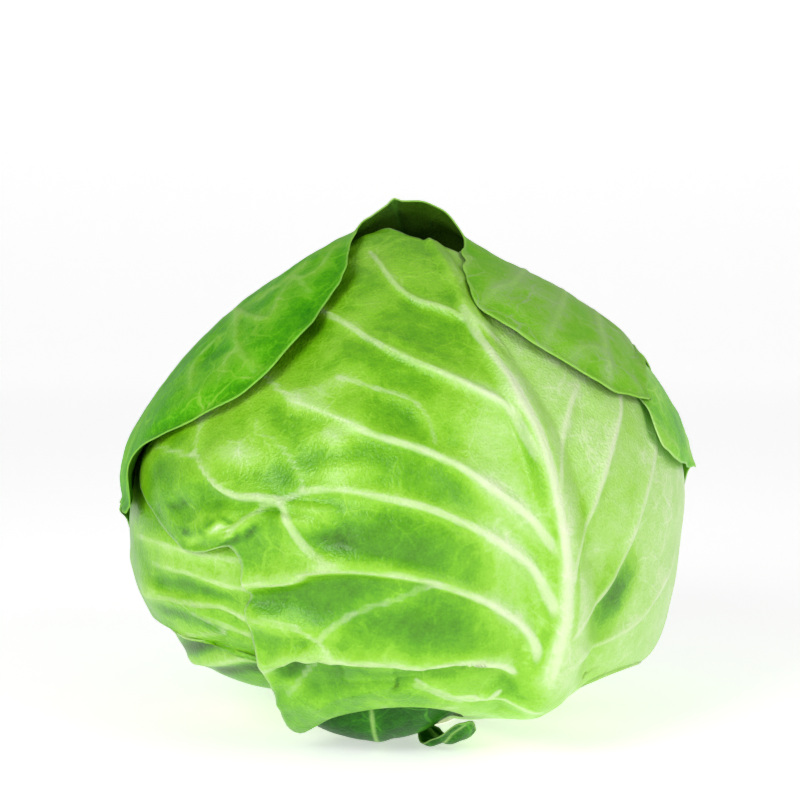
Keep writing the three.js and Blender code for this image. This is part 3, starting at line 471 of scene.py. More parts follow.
HALF_LINE = 0.36      # half a vein's pale line, as a share of its listed width
THINNEST = 0.4        # the least that this half may be
WIDEST_CELL = 2.2     # a grid cell counts as no wider than this where a line is drawn on it
LINE_FADES = 0.2      # how much a line has paled at its end
ROW_SPREAD = 3.2      # how far a side vein of a cage row spreads
TURN_PER_MM = 0.01    # angle of a millimetre on the head, in radians
FAR = 30.0            # distance at which a vein no longer shows
DROP_REACH = 6.5      # how far the drop beside a vein reaches
PALEST_BLADE = 0.78   # palest that ribs, stalk and veins turn the blade beside them
PALEST = 0.95         # palest of all
EDGE_SHARE = 0.45     # thickness at the margin, as a share of the blade's
EDGE_WIDTH = 7.0      # how far the margin takes to reach full thickness

LATTICE = np.random.default_rng(11).uniform(-1, 1, (32, 32, 32))


def noise(points, size, shift=0.0):
    """Smooth noise between -1 and 1 whose lumps are about `size` mm apart."""
    cell = np.asarray(points) / size + 100.0 + shift
    base = np.floor(cell).astype(int)
    part = cell - base
    part = part * part * (3 - 2 * part)
    total = np.zeros(part.shape[:-1])
    for corner in product((0, 1), repeat=3):
        weight = np.prod(np.where(corner, part, 1 - part), axis=-1)
        x, y, z = np.moveaxis((base + corner) % 32, -1, 0)
        total += LATTICE[x, y, z] * weight
    return total


def toward(turn, rise):
    """Unit vector from the middle of the head to a place on it."""
    t, r = np.radians(turn), np.radians(rise)
    return np.stack([np.sin(r) * np.sin(t), -np.sin(r) * np.cos(t), -np.cos(r)], axis=-1)


def smooth_table(table, x):
    """Smooth curves through a table's columns, with uneven steps in its first column."""
    table = np.asarray(table, dtype=float)
    last = len(table) - 1
    i = np.clip(np.searchsorted(table[:, 0], x, side="left") - 1, 0, last - 1)
    row = np.arange(last + 1)
    before, after = np.maximum(row - 1, 0), np.minimum(row + 1, last)
    slope = (table[after, 1:] - table[before, 1:]) / (table[after, 0] - table[before, 0])[:, None]
    step = (table[i + 1, 0] - table[i, 0])[..., None]
    s = np.clip((np.asarray(x) - table[i, 0])[..., None] / step, 0, 1)
    p, q = table[i, 1:], table[i + 1, 1:]
    a, b = slope[i] * step, slope[i + 1] * step
    return p + s * (a + s * (3 * (q - p) - 2 * a - b + s * (2 * (p - q) + a + b)))


def head_radius(way):
    """Reach of the head's outline along unit vectors."""
    table = smooth_table(OUTLINE, np.degrees(np.arccos(np.clip(-way[..., 2], -1, 1))))
    flat = np.maximum(np.hypot(way[..., 0], way[..., 1]), 1e-9)
    return table[..., 0] + table[..., 1] * way[..., 0] / flat


def spline(points, t):
    """Smooth curve through the rows of `points`, straight at its ends, without overshoot."""
    points = np.asarray(points, dtype=float)
    last = len(points) - 1
    ends = [2 * points[0] - points[1]], [2 * points[-1] - points[-2]]
    step = np.diff(np.concatenate([ends[0], points, ends[1]]), axis=0)
    size = np.linalg.norm(step[..., :3], axis=-1, keepdims=True)
    slope = (step[1:] + step[:-1]) / 2
    most = 1.3 * np.minimum(size[1:], size[:-1])
    slope *= np.minimum(1, most / np.maximum(np.linalg.norm(slope[..., :3], axis=-1, keepdims=True), 1e-9))
    i = np.clip(np.floor(t).astype(int), 0, last - 1)
    s = (t - i).reshape((-1,) + (1,) * (points.ndim - 1))
    p, q, m, n = points[i], points[i + 1], slope[i], slope[i + 1]
    return p + s * (m + s * (3 * (q - p) - 2 * m - n + s * (2 * (p - q) + m + n)))


def dome(x):
    """A smooth bump, 1 at zero and 0 from 1 on."""
    return np.where(np.abs(x) < 1, (1 - np.clip(x, -1, 1) ** 2) ** 2, 0.0)


def ramp(x, low, high):
    """0 below `low`, 1 above `high`, smooth between; `low` may be the larger one."""
    s = np.clip((x - low) / (high - low), 0, 1)
    return s * s * (3 - 2 * s)


def blurred(grid, reach):
    """The grid with every value averaged over `reach` cells to each side, three times."""
    for axis in (0, 1, 0, 1, 0, 1):
        pad = [(reach + 1, reach) if k == axis else (0, 0) for k in (0, 1)]
        total = np.cumsum(np.pad(grid, pad, mode="edge"), axis=axis)
        count = grid.shape[axis]
        high = np.take(total, np.arange(count) + 2 * reach + 1, axis=axis)
        grid = (high - np.take(total, np.arange(count), axis=axis)) / (2 * reach + 1)
    return grid


def unit(vectors):
    """The vectors at length 1."""
    return vectors / np.maximum(np.linalg.norm(vectors, axis=-1, keepdims=True), 1e-9)


# ------------------------------------------------------------------ a leaf's blade

class Blade:
    """The outer face of a leaf as a grid of points, with what the finish needs to know of it."""

    def __init__(self, name, columns, rows):
        self.name = name
        self.leaf = leaf = LEAVES[name]
        left, right = leaf["columns"]
        self.cage = np.array([
            [[*toward(p[0], p[1]), p[2] if len(p) > 2 else 0.0] for p in row] for row in leaf["cage"]
        ])
        self.left, self.right = left, right
        self.u = self.even_across(columns)
        self.v = self.even_along(rows)
        table = self.cage_at(self.u, self.v)
        self.way = unit(table[..., :3])
        self.reach = head_radius(self.way) + leaf["layer"] + table[..., 3]
        self.measure_rib(leaf.get("aside", [[0, 0], [180, 0]]))
        self.height = np.zeros_like(self.reach)
        self.vein = np.full_like(self.reach, FAR)
        self.tone = np.zeros_like(self.reach)
        self.evened = 0
        self.measure_edge()

    def cage_at(self, u, v):
        """The cage's rows at `u` across, then along them at `v`."""
        columns = np.moveaxis(self.cage, 1, 0)
        left = spline(columns[:self.left + 1], (np.minimum(u, 0) + 1) * self.left)
        right = spline(columns[self.left:], np.maximum(u, 0) * self.right)
        across = np.where((u < 0)[:, None, None], left, right)
        return spline(np.moveaxis(across, 0, 1), v)

    def even_across(self, count):
        """Places across the cage that give columns of even width."""
        fine = np.linspace(-1, 1, 401)
        table = unit(self.cage_at(fine, np.linspace(0, len(self.cage) - 1, 40))[..., :3])
        step = np.linalg.norm(np.diff(table, axis=1), axis=-1).mean(axis=0)
        return self.spread(fine, step, count)

    def even_along(self, count):
        """Places along the cage that give rows of even height."""
        fine = np.linspace(0, len(self.cage) - 1, 801)
        table = unit(self.cage_at(np.linspace(-0.9, 0.9, 19), fine)[..., :3])
        step = np.linalg.norm(np.diff(table, axis=0), axis=-1).mean(axis=1)
        return self.spread(fine, step, count)

    @staticmethod
    def spread(fine, step, count):
        """`count` of the fine places, with equal runs between them."""
        reach = np.concatenate([[0], np.cumsum(step)])
        return np.interp(np.linspace(0, reach[-1], count), reach, fine)

    def measure_rib(self, aside):
        """Distance of every point from the midrib, which may run a little beside the middle column."""
        rib = unit(self.cage_at(np.array([0.0]), self.v)[::6, 0, :3])
        rise = np.degrees(np.arccos(-rib[:, 2]))
        shift = smooth_table(aside, rise)[:, 0]
        round_head = np.arctan2(rib[:, 0], -rib[:, 1])
        turn = np.degrees(round_head + TURN_PER_MM * shift / np.sin(np.radians(rise)))
        self.from_rib, share, side = self.near(list(zip(turn, rise)), smooth=False)
        self.across_rib = -side * self.from_rib
        run = np.concatenate([[0], np.cumsum(np.linalg.norm(np.diff(toward(turn, rise), axis=0), axis=-1))])
        self.rib_rise = np.interp(share, run / run[-1], rise)

    def measure_edge(self):
        """Distance of every point from the leaf's free margin."""
        points = self.points()
        across = np.linalg.norm(np.diff(points, axis=1), axis=-1)
        run = np.concatenate([np.zeros((len(points), 1)), np.cumsum(across, axis=1)], axis=1)
        along = np.linalg.norm(np.diff(points, axis=0), axis=-1)
        steps = [np.linalg.norm(np.gradient(points, axis=k), axis=-1) for k in (0, 1)]
        self.cell = np.maximum(*steps)
        climb = np.concatenate([np.zeros((1, points.shape[1])), np.cumsum(along, axis=0)], axis=0)
        self.edge = np.minimum(np.minimum(run, run[:, -1:] - run), climb[-1:] - climb)
        self.from_stalk = climb

    def points(self):
        """Every grid point in space."""
        return self.way * (self.reach + self.height)[..., None] + HEAD_MIDDLE

    def near(self, path, smooth=True):
        """Distance from a path of places, share of its length, and which side the point is on."""
        line = toward(*np.array(path, dtype=float).T)
        if smooth and len(line) > 2:
            line = unit(spline(line, np.linspace(0, len(line) - 1, 4 * len(line))))
        lengths = np.concatenate([[0], np.cumsum(np.linalg.norm(np.diff(line, axis=0), axis=-1))])
        flat = self.way.reshape(-1, 3)
        best, share, side = np.full(len(flat), 9.0), np.zeros(len(flat)), np.ones(len(flat))
        for k in range(len(line) - 1):
            e = line[k + 1] - line[k]
            w = flat - line[k]
            s = np.clip(w @ e / (e @ e), 0, 1)
            d = np.linalg.norm(w - s[:, None] * e, axis=1)
            closer = d < best
            best[closer] = d[closer]
            share[closer] = (lengths[k] + s * (lengths[k + 1] - lengths[k]))[closer] / lengths[-1]
            side[closer] = np.sign(np.cross(e, w) @ line[k])[closer]
        shape = self.reach.shape
        return best.reshape(shape) * self.reach, share.reshape(shape), side.reshape(shape)

    def add_vein(self, path, wide, narrow, height, spread):
        """A raised vein that narrows and fades along its path.

        Where the grid is coarser than the line, the line is widened to the grid and dulled for it.
        """
        distance, share, _ = self.near(path)
        half = np.maximum(HALF_LINE * (wide + (narrow - wide) * np.sqrt(share)), THINNEST)
        least = 0.5 * np.minimum(self.cell, WIDEST_CELL)
        core = np.maximum(distance, least) - np.maximum(half, least - 0.05) + LINE_FADES * share ** 2
        too_thin = np.maximum(1 - half / np.maximum(least, 0.1), 0)
        core += 0.45 * too_thin + 0.12 * ramp(wide, 2.2, 1.2)
        if height:  # the first stretch is soft where the vein leaves the rib
            core += 1.5 * ramp(share, 0.07, 0) * ramp(self.from_rib, 14, 10)
        self.vein = np.minimum(self.vein, core)
        taper = 1 - 0.5 * share ** 1.5
        end = ramp(share, 1.0, 0.9)
        flank = spread * (0.5 + half / max(wide, narrow))
        self.height = np.maximum(self.height, height * taper * end * dome(distance / flank))

    def add_rib(self, core=0.3, right=1.0):
        """The midrib, from the leaf's own table.

        `core` is the share of its width that is cream, `right` widens its right flank.
        """
        table = smooth_table(self.leaf["rib"], self.rib_rise)
        height = table[..., 0]
        width = table[..., 1] * (1 + (right - 1) * ramp(self.across_rib, 0, 3))
        self.height = np.maximum(self.height, height * dome(self.from_rib / width))
        if core:
            self.vein = np.minimum(self.vein, self.from_rib - width * core)

    def add_detail(self):
        """Veins, creases, swellings and tints from the leaf's own lists."""
        lists = DETAIL.get(self.name, {})
        for path, wide, narrow, height, spread, drop in lists.get("veins", []):
            self.add_vein(path, wide, narrow, height, spread)
            if drop:
                deep = abs(drop)
                self.add_crease(path, 1.3 * deep, DROP_REACH, np.sign(drop), 0.8 * deep)
        for crease in lists.get("creases", []):
            self.add_crease(*crease)
        for bump in lists.get("bumps", []):
            self.add_bump(*bump)
        for path, reach, tone in lists.get("tints", []):
            distance, share, _ = self.near(path)
            ends = ramp(share, 0, 0.15) * ramp(share, 1, 0.85)
            self.tone += tone * ends * dome(distance / reach)

    def add_row_veins(self, wide, narrow):
        """Side veins along the rows of the cage that have one."""
        for row, heights in enumerate(self.leaf["veins"]):
            for sign, height in zip((-1, 1), heights):
                if height:
                    across = np.linspace(0.03, 0.9, 12) * sign
                    line = unit(self.cage_at(across, np.array([float(row)]))[0, :, :3])
                    rise = np.degrees(np.arccos(-line[:, 2]))
                    turn = np.degrees(np.arctan2(line[:, 0], -line[:, 1]))
                    self.add_vein(list(zip(turn, rise)), wide, narrow, height, ROW_SPREAD)

    def add_sags(self):
        """The margin's folds: the blade sinks between rows on the left."""
        sag = np.array(self.leaf.get("sag", [0]), dtype=float)
        v, u = np.meshgrid(self.v, self.u, indexing="ij")
        gap = np.minimum(np.floor(v).astype(int), len(sag) - 1)
        depth = sag[gap]
        self.height -= depth * ramp(-u, 0.3, 0.8) * np.sin(np.pi * (v - gap)) ** 2

    def add_crease(self, path, depth, reach, side=1, shoulder=0.0, fade=0.2):
        """The blade drops beside a line and comes back slowly, as it does next to a fold.

        On the line's other side it swells up to a broad `shoulder`.
        """
        distance, share, where = self.near(path)
        x = np.where(where == side, distance, 0) / reach
        ends = ramp(share, 0, fade) * ramp(share, 1, 1 - fade)
        self.height -= depth * ends * x * np.exp(1 - x)
        swell = np.exp(-(distance / np.where(where == side, 2.5, 10.0)) ** 2)
        self.height += shoulder * ends * swell

    def add_bump(self, place, along, across, angle, height, tone):
        """A long soft swelling or dent; `angle` is its direction over the horizontal. Its paler or darker
        colour is at times a painted highlight or painted shade.
        """
        turn, rise = place
        middle = toward(turn, rise)
        right = toward(turn + 90, 90.0)
        up = np.cross(middle, right)
        up = up if up[2] > 0 else -up
        offset = (self.way - middle) * self.reach[..., None]
        x, y = offset @ right, offset @ up
        c, s = np.cos(radians(angle)), np.sin(radians(angle))
        shape = np.exp(-((x * c + y * s) / along) ** 2 - ((y * c - x * s) / across) ** 2)
        shape = np.where((self.way @ middle) > 0, shape, 0)
        self.height += height * shape
        self.tone += tone * shape

    def add_puckers(self, coarse, fine, calm=0.0):
        """The uneven surface between veins, calmed where `calm` is 1."""
        points = self.way * self.reach[..., None]
        lumps = coarse * noise(points, 17) + 0.5 * coarse * noise(points, 9, 7.3)
        lumps = lumps + fine * noise(points, 4.5, 3.1)
        self.height += lumps * (1 - 0.8 * calm) * ramp(self.vein, 0, 5) * ramp(self.edge, 0, 6)

    def hold_out(self, depth):
        """Keeps the blade from sinking deeper than `depth` under the head's outline."""
        lift = self.reach - head_radius(self.way)
        over = self.height - (depth - lift)
        self.height = np.where(over < 1, depth - lift + np.exp(np.minimum(over - 1, 0)), self.height)

    def ruffle(self, height, teeth, size, reach=9.0, frills=()):
        """Waves the margin in and out, and gives it an uneven outline, more so at the `frills`."""
        near = ramp(self.edge, reach, 0)
        for turn, rise, width, more in frills:
            away = np.linalg.norm(self.way - toward(turn, rise), axis=-1) * self.reach
            near = near * (1 + more * np.exp(-(away / width) ** 2))
        points = self.way * self.reach[..., None]
        self.height += near * height * noise(points, size, 5.0)
        self.shift = near * teeth * noise(points, size * 0.55, 9.0)

    def paleness(self, look):
        """How pale the blade is everywhere, from 0, deep green, to 1, as cream as the rib; below 0 is
        painted shade.
        """
        by_rib = look["by_rib"] * ramp(self.from_rib, look["rib_reach"], 2)
        pale = look["base"] + by_rib * (1 - look["rib_fades"] * ramp(self.rib_rise, 112, 130))
        pale = pale + look["right"] * ramp(self.across_rib, -4, 14)
        pale = pale + look["stalk"] * ramp(self.from_stalk, look["stalk_reach"], 15)
        pale = np.minimum(pale + look["halo"] * ramp(self.vein, 5.5, 0), PALEST_BLADE)
        # painted light on ridges and painted shade in hollows, from the height above or below its own blur
        pale = pale + look["ridge_light_hollow_shade"] * np.clip(self.height - blurred(self.height, 5), -1.2, 2.5)
        return np.minimum(pale + self.tone, PALEST)

    def finished(self):
        """Points of the outer face, with the margin's uneven outline, kept inside the solids' box."""
        points = self.points()
        sideways = unit(np.gradient(points, axis=1)) * np.sign(self.u)[None, :, None]
        upward = unit(np.gradient(points, axis=0))
        top = (self.from_stalk[-1:] - self.from_stalk) <= self.edge + 1e-6
        points = points + np.where(top[..., None], upward, sideways) * self.shift[..., None]
        points = self.foot_evened(points)
        low, high = np.array(CAD_BOX) * METRE
        return np.clip(points, low + 0.02, high - 0.02)

    def foot_evened(self, points):
        """The points, smoothed `evened` times at the foot, where the grid's cells crowd and fold."""
        v, u = np.meshgrid(self.v, self.u, indexing="ij")
        right_margin = ramp(v, 6.2, 5.0) * ramp(u, 0.16, 0.3)
        left_margin = ramp(v, 4.2, 3.2) * ramp(u, -0.05, -0.15)
        foot = (ramp(v, 1.6, 2.2) * (right_margin + left_margin))[..., None]
        for _ in range(self.evened):
            soft = np.stack([blurred(points[..., k], 1) for k in range(3)], axis=-1)
            points = points + foot * (soft - points)
        return points


def meshed(bm, name, flat_caps=False):
    """A mesh with smooth faces from the bmesh, which is freed; level faces may stay flat."""
    for face in bm.faces:
        face.smooth = not flat_caps or abs(face.normal.z) < 0.9
    mesh = bpy.data.meshes.new(name)
    bm.to_mesh(mesh)
    bm.free()
    return mesh


def make_piece(name, mesh, node, slot_name, *materials):
    """Adds a mesh at the origin, gives it its finishes, and lets it ride and stand for its solid."""
    for material in materials:
        mesh.materials.append(material)
    piece = bpy.data.objects.new(name, mesh)
    bpy.context.scene.collection.objects.link(piece)
    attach(piece, "root")
    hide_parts(node)
    return piece


def leaf_piece(blade, look, material, slot_name, inside=None):
    """A leaf made from a bmesh grid, moved to its blade and thickened inwards.

    `inside` is a second material for its inner face.
    """
    points = blade.finished() * MM
    rows, columns = points.shape[:2]
    bm = bmesh.new()
    bmesh.ops.create_grid(bm, x_segments=columns - 1, y_segments=rows - 1, size=1)
    flat = np.array([v.co[:2] for v in bm.verts])
    i = np.rint((flat[:, 0] + 1) / 2 * (columns - 1)).astype(int)
    j = np.rint((flat[:, 1] + 1) / 2 * (rows - 1)).astype(int)
    for vertex, place in zip(bm.verts, points[j, i]):
        vertex.co = place
    m, n = rows // 2, columns // 2
    facing = np.cross(points[m, n + 1] - points[m, n], points[m + 1, n] - points[m, n])
    if facing @ (points[m, n] - HEAD_MIDDLE * MM) < 0:
        bmesh.ops.reverse_faces(bm, faces=bm.faces[:])
    mesh = meshed(bm, blade.name)
    for label, values in (("vein", blade.vein), ("edge", blade.edge), ("pale", blade.paleness(look))):
        layer = mesh.attributes.new(label, "FLOAT", "POINT")
        layer.data.foreach_set("value", values[j, i].astype(np.float32))
    finishes = [material, inside] if inside else [material]
    piece = make_piece(blade.name + "_fine", mesh, blade.name, slot_name, *finishes)
    group = piece.vertex_groups.new(name="blade")
    share = EDGE_SHARE + (1 - EDGE_SHARE) * ramp(blade.edge, 0, EDGE_WIDTH)
    weight = np.round(share[j, i], 2)
    for value in np.unique(weight):
        group.add(np.flatnonzero(weight == value).tolist(), float(value), "REPLACE")
    thick = piece.modifiers.new("thickness", "SOLIDIFY")
    thick.thickness = blade.leaf["thickness"] * MM
    thick.offset = -1
    thick.vertex_group = "blade"
    thick.use_rim = True
    thick.material_offset = 1 if inside else 0
    return piece


# ------------------------------------------------------------------ finishes

def linear(text):
    """A linear colour from an sRGB hex value."""
    channels = [int(text[k:k + 2], 16) / 255 for k in (1, 3, 5)]
    return [c / 12.92 if c <= 0.04045 else ((c + 0.055) / 1.055) ** 2.4 for c in channels]


def add_node(material, kind, inputs=None, **settings):
    """Adds a node, sets its properties, and sets or links its inputs."""
    tree = material.node_tree
    made = tree.nodes.new(kind)
    for key, value in settings.items():
        setattr(made, key, value)
    for key, value in (inputs or {}).items():
        if isinstance(value, bpy.types.NodeSocket):
            tree.links.new(value, made.inputs[key])
        else:
            made.inputs[key].default_value = value
    return made


def palette(*texts):
    """Linear colours from several sRGB hex values."""
    return [linear(text) for text in texts]


def new_material(name):
    """A material with an empty node tree."""
    material = bpy.data.materials.new(name)
    material.use_nodes = True
    material.node_tree.nodes.clear()
    return material


def leaf_material(name, look, colours):
    """Waxy leaf: green blade that pales towards its ribs, soft veins, a faint net and dull gloss.

    `colours` runs from the deepest green to the ribs, with a painted shade below the deepest; `look` holds
    the numbers.
    """
    m = new_material(name)
    deep, blade, fresh, pale, rib = ([*colour, 1.0] for colour in colours)
    # painted shade: the deepest green at 0.4, where tints, hollows and folds push the paleness below zero
    painted_shade_green = [*(0.4 * channel for channel in deep[:3]), 1.0]
    place = add_node(m, "ShaderNodeTexCoord").outputs["Object"]
    paleness = add_node(m, "ShaderNodeAttribute", attribute_name="pale").outputs["Fac"]
    from_vein = add_node(m, "ShaderNodeAttribute", attribute_name="vein").outputs["Fac"]
    from_edge = add_node(m, "ShaderNodeAttribute", attribute_name="edge").outputs["Fac"]

    # uneven greens: wide clouds, small mottling and the grain of single cells
    clouds, mottle = (add_node(m, "ShaderNodeTexNoise", {
        "Vector": place, "Scale": METRE / size, "Detail": 3.0, "Roughness": 0.6}).outputs["Fac"]
        for size in (24, 4.5))
    grain = add_node(m, "ShaderNodeTexNoise", {
        "Vector": place, "Scale": METRE / 0.9, "Detail": 1.0}).outputs["Fac"]
    shift, small, fleck = (add_node(m, "ShaderNodeMapRange", {
        0: source, 1: 0.3, 2: 0.7, 3: -most, 4: most}, clamp=False).outputs[0]
        for source, most in ((clouds, look["cloud"]), (mottle, look["mottle"]), (grain, 0.05)))
    uneven = add_node(m, "ShaderNodeMath", {0: shift, 1: small}, operation="ADD").outputs[0]
    uneven = add_node(m, "ShaderNodeMath", {0: uneven, 1: fleck}, operation="ADD").outputs[0]

    # the net of small veins: cracks between cells, bent by noise, strong only here and there
    bend = add_node(m, "ShaderNodeTexNoise", {
        "Vector": place, "Scale": METRE / 9, "Detail": 2.0}).outputs["Color"]
    pushed = add_node(m, "ShaderNodeVectorMath", {0: bend, 1: (0.006, 0.006, 0.006), 2: place},
                      operation="MULTIPLY_ADD").outputs[0]
    nets = []
    for size, width, strength in ((look["cell"], 0.75, 1.0), (look["cell"] / 3, 0.5, 0.4)):
        cells = add_node(m, "ShaderNodeTexVoronoi", {"Vector": pushed, "Scale": METRE / size},
                         feature="DISTANCE_TO_EDGE").outputs["Distance"]
        nets.append(add_node(m, "ShaderNodeMapRange", {0: cells, 1: width / size, 2: 0.0, 4: strength},
                             interpolation_type="SMOOTHSTEP").outputs[0])
    net = add_node(m, "ShaderNodeMath", {0: nets[0], 1: nets[1]}, operation="MAXIMUM").outputs[0]
    where = add_node(m, "ShaderNodeMapRange", {0: clouds, 1: 0.42, 2: 0.62, 3: 0.25, 4: 1.0}).outputs[0]
    shown = add_node(m, "ShaderNodeMath", {0: net, 1: where}, operation="MULTIPLY").outputs[0]

    # from the painted shade, below the deepest green, to the ribs' cream, one colour after the other
    amount = add_node(m, "ShaderNodeMath", {0: paleness, 1: uneven}, operation="ADD").outputs[0]
    veiny = add_node(m, "ShaderNodeMath", {0: shown, 1: look["net"], 2: amount},
                     operation="MULTIPLY_ADD").outputs[0]
    body = painted_shade_green
    for start, end, colour in ((-0.4, 0.02, deep), (0.0, 0.28, blade), (0.22, 0.55, fresh),
                               (0.5, 0.85, pale), (0.82, 1.15, rib)):
        share = add_node(m, "ShaderNodeMapRange", {0: veiny, 1: start, 2: end}).outputs[0]
        body = add_node(m, "ShaderNodeMix", {0: share, 6: body, 7: colour}, data_type="RGBA").outputs[2]

    # the larger veins, with soft uneven shoulders, and the thin light rim of the leaf
    ragged = add_node(m, "ShaderNodeMath", {0: mottle, 1: from_vein}, operation="ADD").outputs[0]
    line = add_node(m, "ShaderNodeMapRange", {0: ragged, 1: 1.5, 2: 0.2, 4: look["line"]},
                    interpolation_type="SMOOTHSTEP").outputs[0]
    body = add_node(m, "ShaderNodeMix", {0: line, 6: body, 7: rib}, data_type="RGBA").outputs[2]
    rim = add_node(m, "ShaderNodeMapRange", {
        0: from_edge, 1: look["rim_width"], 2: 0.0, 4: look["rim"]}).outputs[0]
    body = add_node(m, "ShaderNodeMix", {0: rim, 6: body, 7: rib}, data_type="RGBA").outputs[2]

    # relief: pebbled blade, raised net, and the sparkle of the wax's grain
    pebbles = add_node(m, "ShaderNodeMath", {0: mottle, 1: 0.5, 2: grain},
                       operation="MULTIPLY_ADD").outputs[0]
    raised = add_node(m, "ShaderNodeMath", {0: shown, 1: look["net_height"], 2: pebbles},
                      operation="MULTIPLY_ADD").outputs[0]
    bump = add_node(m, "ShaderNodeBump", {"Strength": look["bump"], "Distance": 0.00035, "Height": raised})
    rough = add_node(m, "ShaderNodeMapRange", {
        0: mottle, 1: 0.3, 2: 0.7, 3: look["rough"] - 0.05, 4: look["rough"] + 0.08}).outputs[0]
    shader = add_node(m, "ShaderNodeBsdfPrincipled", {
        "Base Color": body, "Roughness": rough, "Normal": bump.outputs[0], "IOR": 1.45,
        "Subsurface Weight": look["glow"], "Subsurface Radius": (0.7, 1.0, 0.2),
        "Subsurface Scale": 0.002, "Coat Weight": look["wax"], "Coat Roughness": 0.3,
        "Specular IOR Level": look["gloss"],
    })
    add_node(m, "ShaderNodeOutputMaterial", {"Surface": shader.outputs[0]})
    return m


# How a leaf's blade looks: how far it pales by its rib, on its right half, at its stalk and beside veins,
# the painted light on its ridges and painted shade in its hollows, how uneven it is, its net, its veins'
# and rim's line, its relief and gloss.
# Cells and widths are in millimetres.
WAXY = {
    "base": 0.2, "by_rib": 0.45, "rib_reach": 40.0, "rib_fades": 0.0, "right": 0.0,
    "stalk": 0.3, "stalk_reach": 45.0, "halo": 0.2, "ridge_light_hollow_shade": 0.13,
    "cloud": 0.12, "mottle": 0.08, "cell": 15.0, "net": 0.14, "net_height": 0.3,
    "line": 0.74, "rim": 0.35, "rim_width": 1.2,
    "bump": 0.8, "rough": 0.34, "glow": 0.1, "wax": 0.12, "gloss": 0.42,
}


# ------------------------------------------------------------------ what a user may change

def colour_setting(name, text, description):
    """A colour that a user may change, with its default as an sRGB hex value."""
    return bpy.props.FloatVectorProperty(name=name, description=description, subtype="COLOR",
                                         size=3, min=0, max=1, default=linear(text))


class CabbageSettings(bpy.types.PropertyGroup):
    """Sizes and colours of the cabbage."""

    leaf_deep: colour_setting("Deep green", "#5aa406", "Blade of the front leaf between its veins")
    leaf_blade: colour_setting("Blade green", "#7cc214", "Blade of the front leaf")
    leaf_fresh: colour_setting("Fresh green", "#9ad63c", "Blade of the front leaf beside its veins")
    leaf_pale: colour_setting("Pale green", "#b9e287", "Blade of the front leaf beside the midrib")
    vein_colour: colour_setting("Veins", "#e0ecc4", "Midribs and side veins")
    hood_deep: colour_setting("Hood deep green", "#2f8a04", "Darkest green of the outer leaf")
    hood_blade: colour_setting("Hood green", "#5cb606", "Blade of the outer leaf")
    hood_bloom: colour_setting("Hood fresh green", "#86c634", "Paler green of the outer leaf")
    blade_steps: bpy.props.IntProperty(
        name="Blade detail", description="Rows of faces on the two large leaves",
        default=205, min=60, max=205)


def settings():
    """What the user has set."""
    return bpy.context.scene.cabbage


def leaf_greens():
    """The front leaf's greens and its veins' colour, from deep to pale."""
    s = settings()
    return s.leaf_deep, s.leaf_blade, s.leaf_fresh, s.leaf_pale, s.vein_colour


# ------------------------------------------------------------------ pieces

class CABBAGE_OT_front_leaf(bpy.types.Operator):
    """Build the big pale front leaf with its midrib, side veins and folded margin"""
    bl_idname = "cabbage.front_leaf"
    bl_label = "Front leaf"

    def execute(self, context):
        blade = Blade("front_leaf", 222, settings().blade_steps)
        blade.evened = 6
        blade.add_rib(0, 1.9)
        blade.add_detail()
        blade.add_sags()
        calm = ramp(blade.across_rib, 0, 25)
        blade.add_puckers(0.9, 0.25, np.maximum(calm, 0.8 * ramp(blade.from_rib, 35, 8)))
        blade.hold_out(-3.6)
        blade.ruffle(0.9, 1.0, 9, 9, [(-45, 84, 14, 0.8), (-30, 60, 20, 0.6), (50, 62, 45, -0.9)])
        look = dict(WAXY, right=0.68, base=0.14, stalk=0.0, rib_fades=1.0)
        material = leaf_material("Waxy cabbage leaf", look, leaf_greens())
        leaf_piece(blade, look, material, "front_leaf")
        return {"FINISHED"}


class CABBAGE_OT_hood_leaf(bpy.types.Operator):
    """Build the darker outer leaf that hoods the crown"""
    bl_idname = "cabbage.hood_leaf"
    bl_label = "Hood leaf"

    def execute(self, context):
        blade = Blade("hood_leaf", 222, settings().blade_steps)
        blade.add_row_veins(0.9, 0.6)
        blade.add_rib()
        blade.add_detail()
        blade.add_puckers(0.8, 0.15)
        blade.height += 0.8 * ramp(blade.edge, 3, 0) - 1.2 * ramp(blade.edge, 14, 4)
        blade.ruffle(1.3, 1.5, 12, 10, [(-66, 92, 14, 1.0), (70, 108, 12, 1.2)])
        blade.tone += 0.3 * ramp(blade.way[..., 0], 0.0, 0.45)
        look = dict(WAXY, by_rib=0.3, halo=0.15, base=0.2, cloud=0.1, net=0.3, cell=19.0,
                    rough=0.5, wax=0.0, gloss=0.1, ridge_light_hollow_shade=0.06, rim=0.45, rim_width=0.8, line=0.85)
        s = settings()
        greens = [s.hood_deep, s.hood_blade, s.hood_bloom]
        material = leaf_material("Waxy outer leaf with bloom", look,
                                 greens + palette("#9cc07c", "#a8d86a"))
        # the underside paints shade: the hood's greens at 0.3 of their brightness, and dark greens for its
        # pale and rib colours
        shaded = [[0.3 * channel for channel in colour] for colour in greens]
        under = leaf_material("Shaded underside of the outer leaf", dict(look, rim=0.0),
                              shaded + palette("#3c6b22", "#58902c"))
        leaf_piece(blade, look, material, "hood_leaf", inside=under)
        return {"FINISHED"}


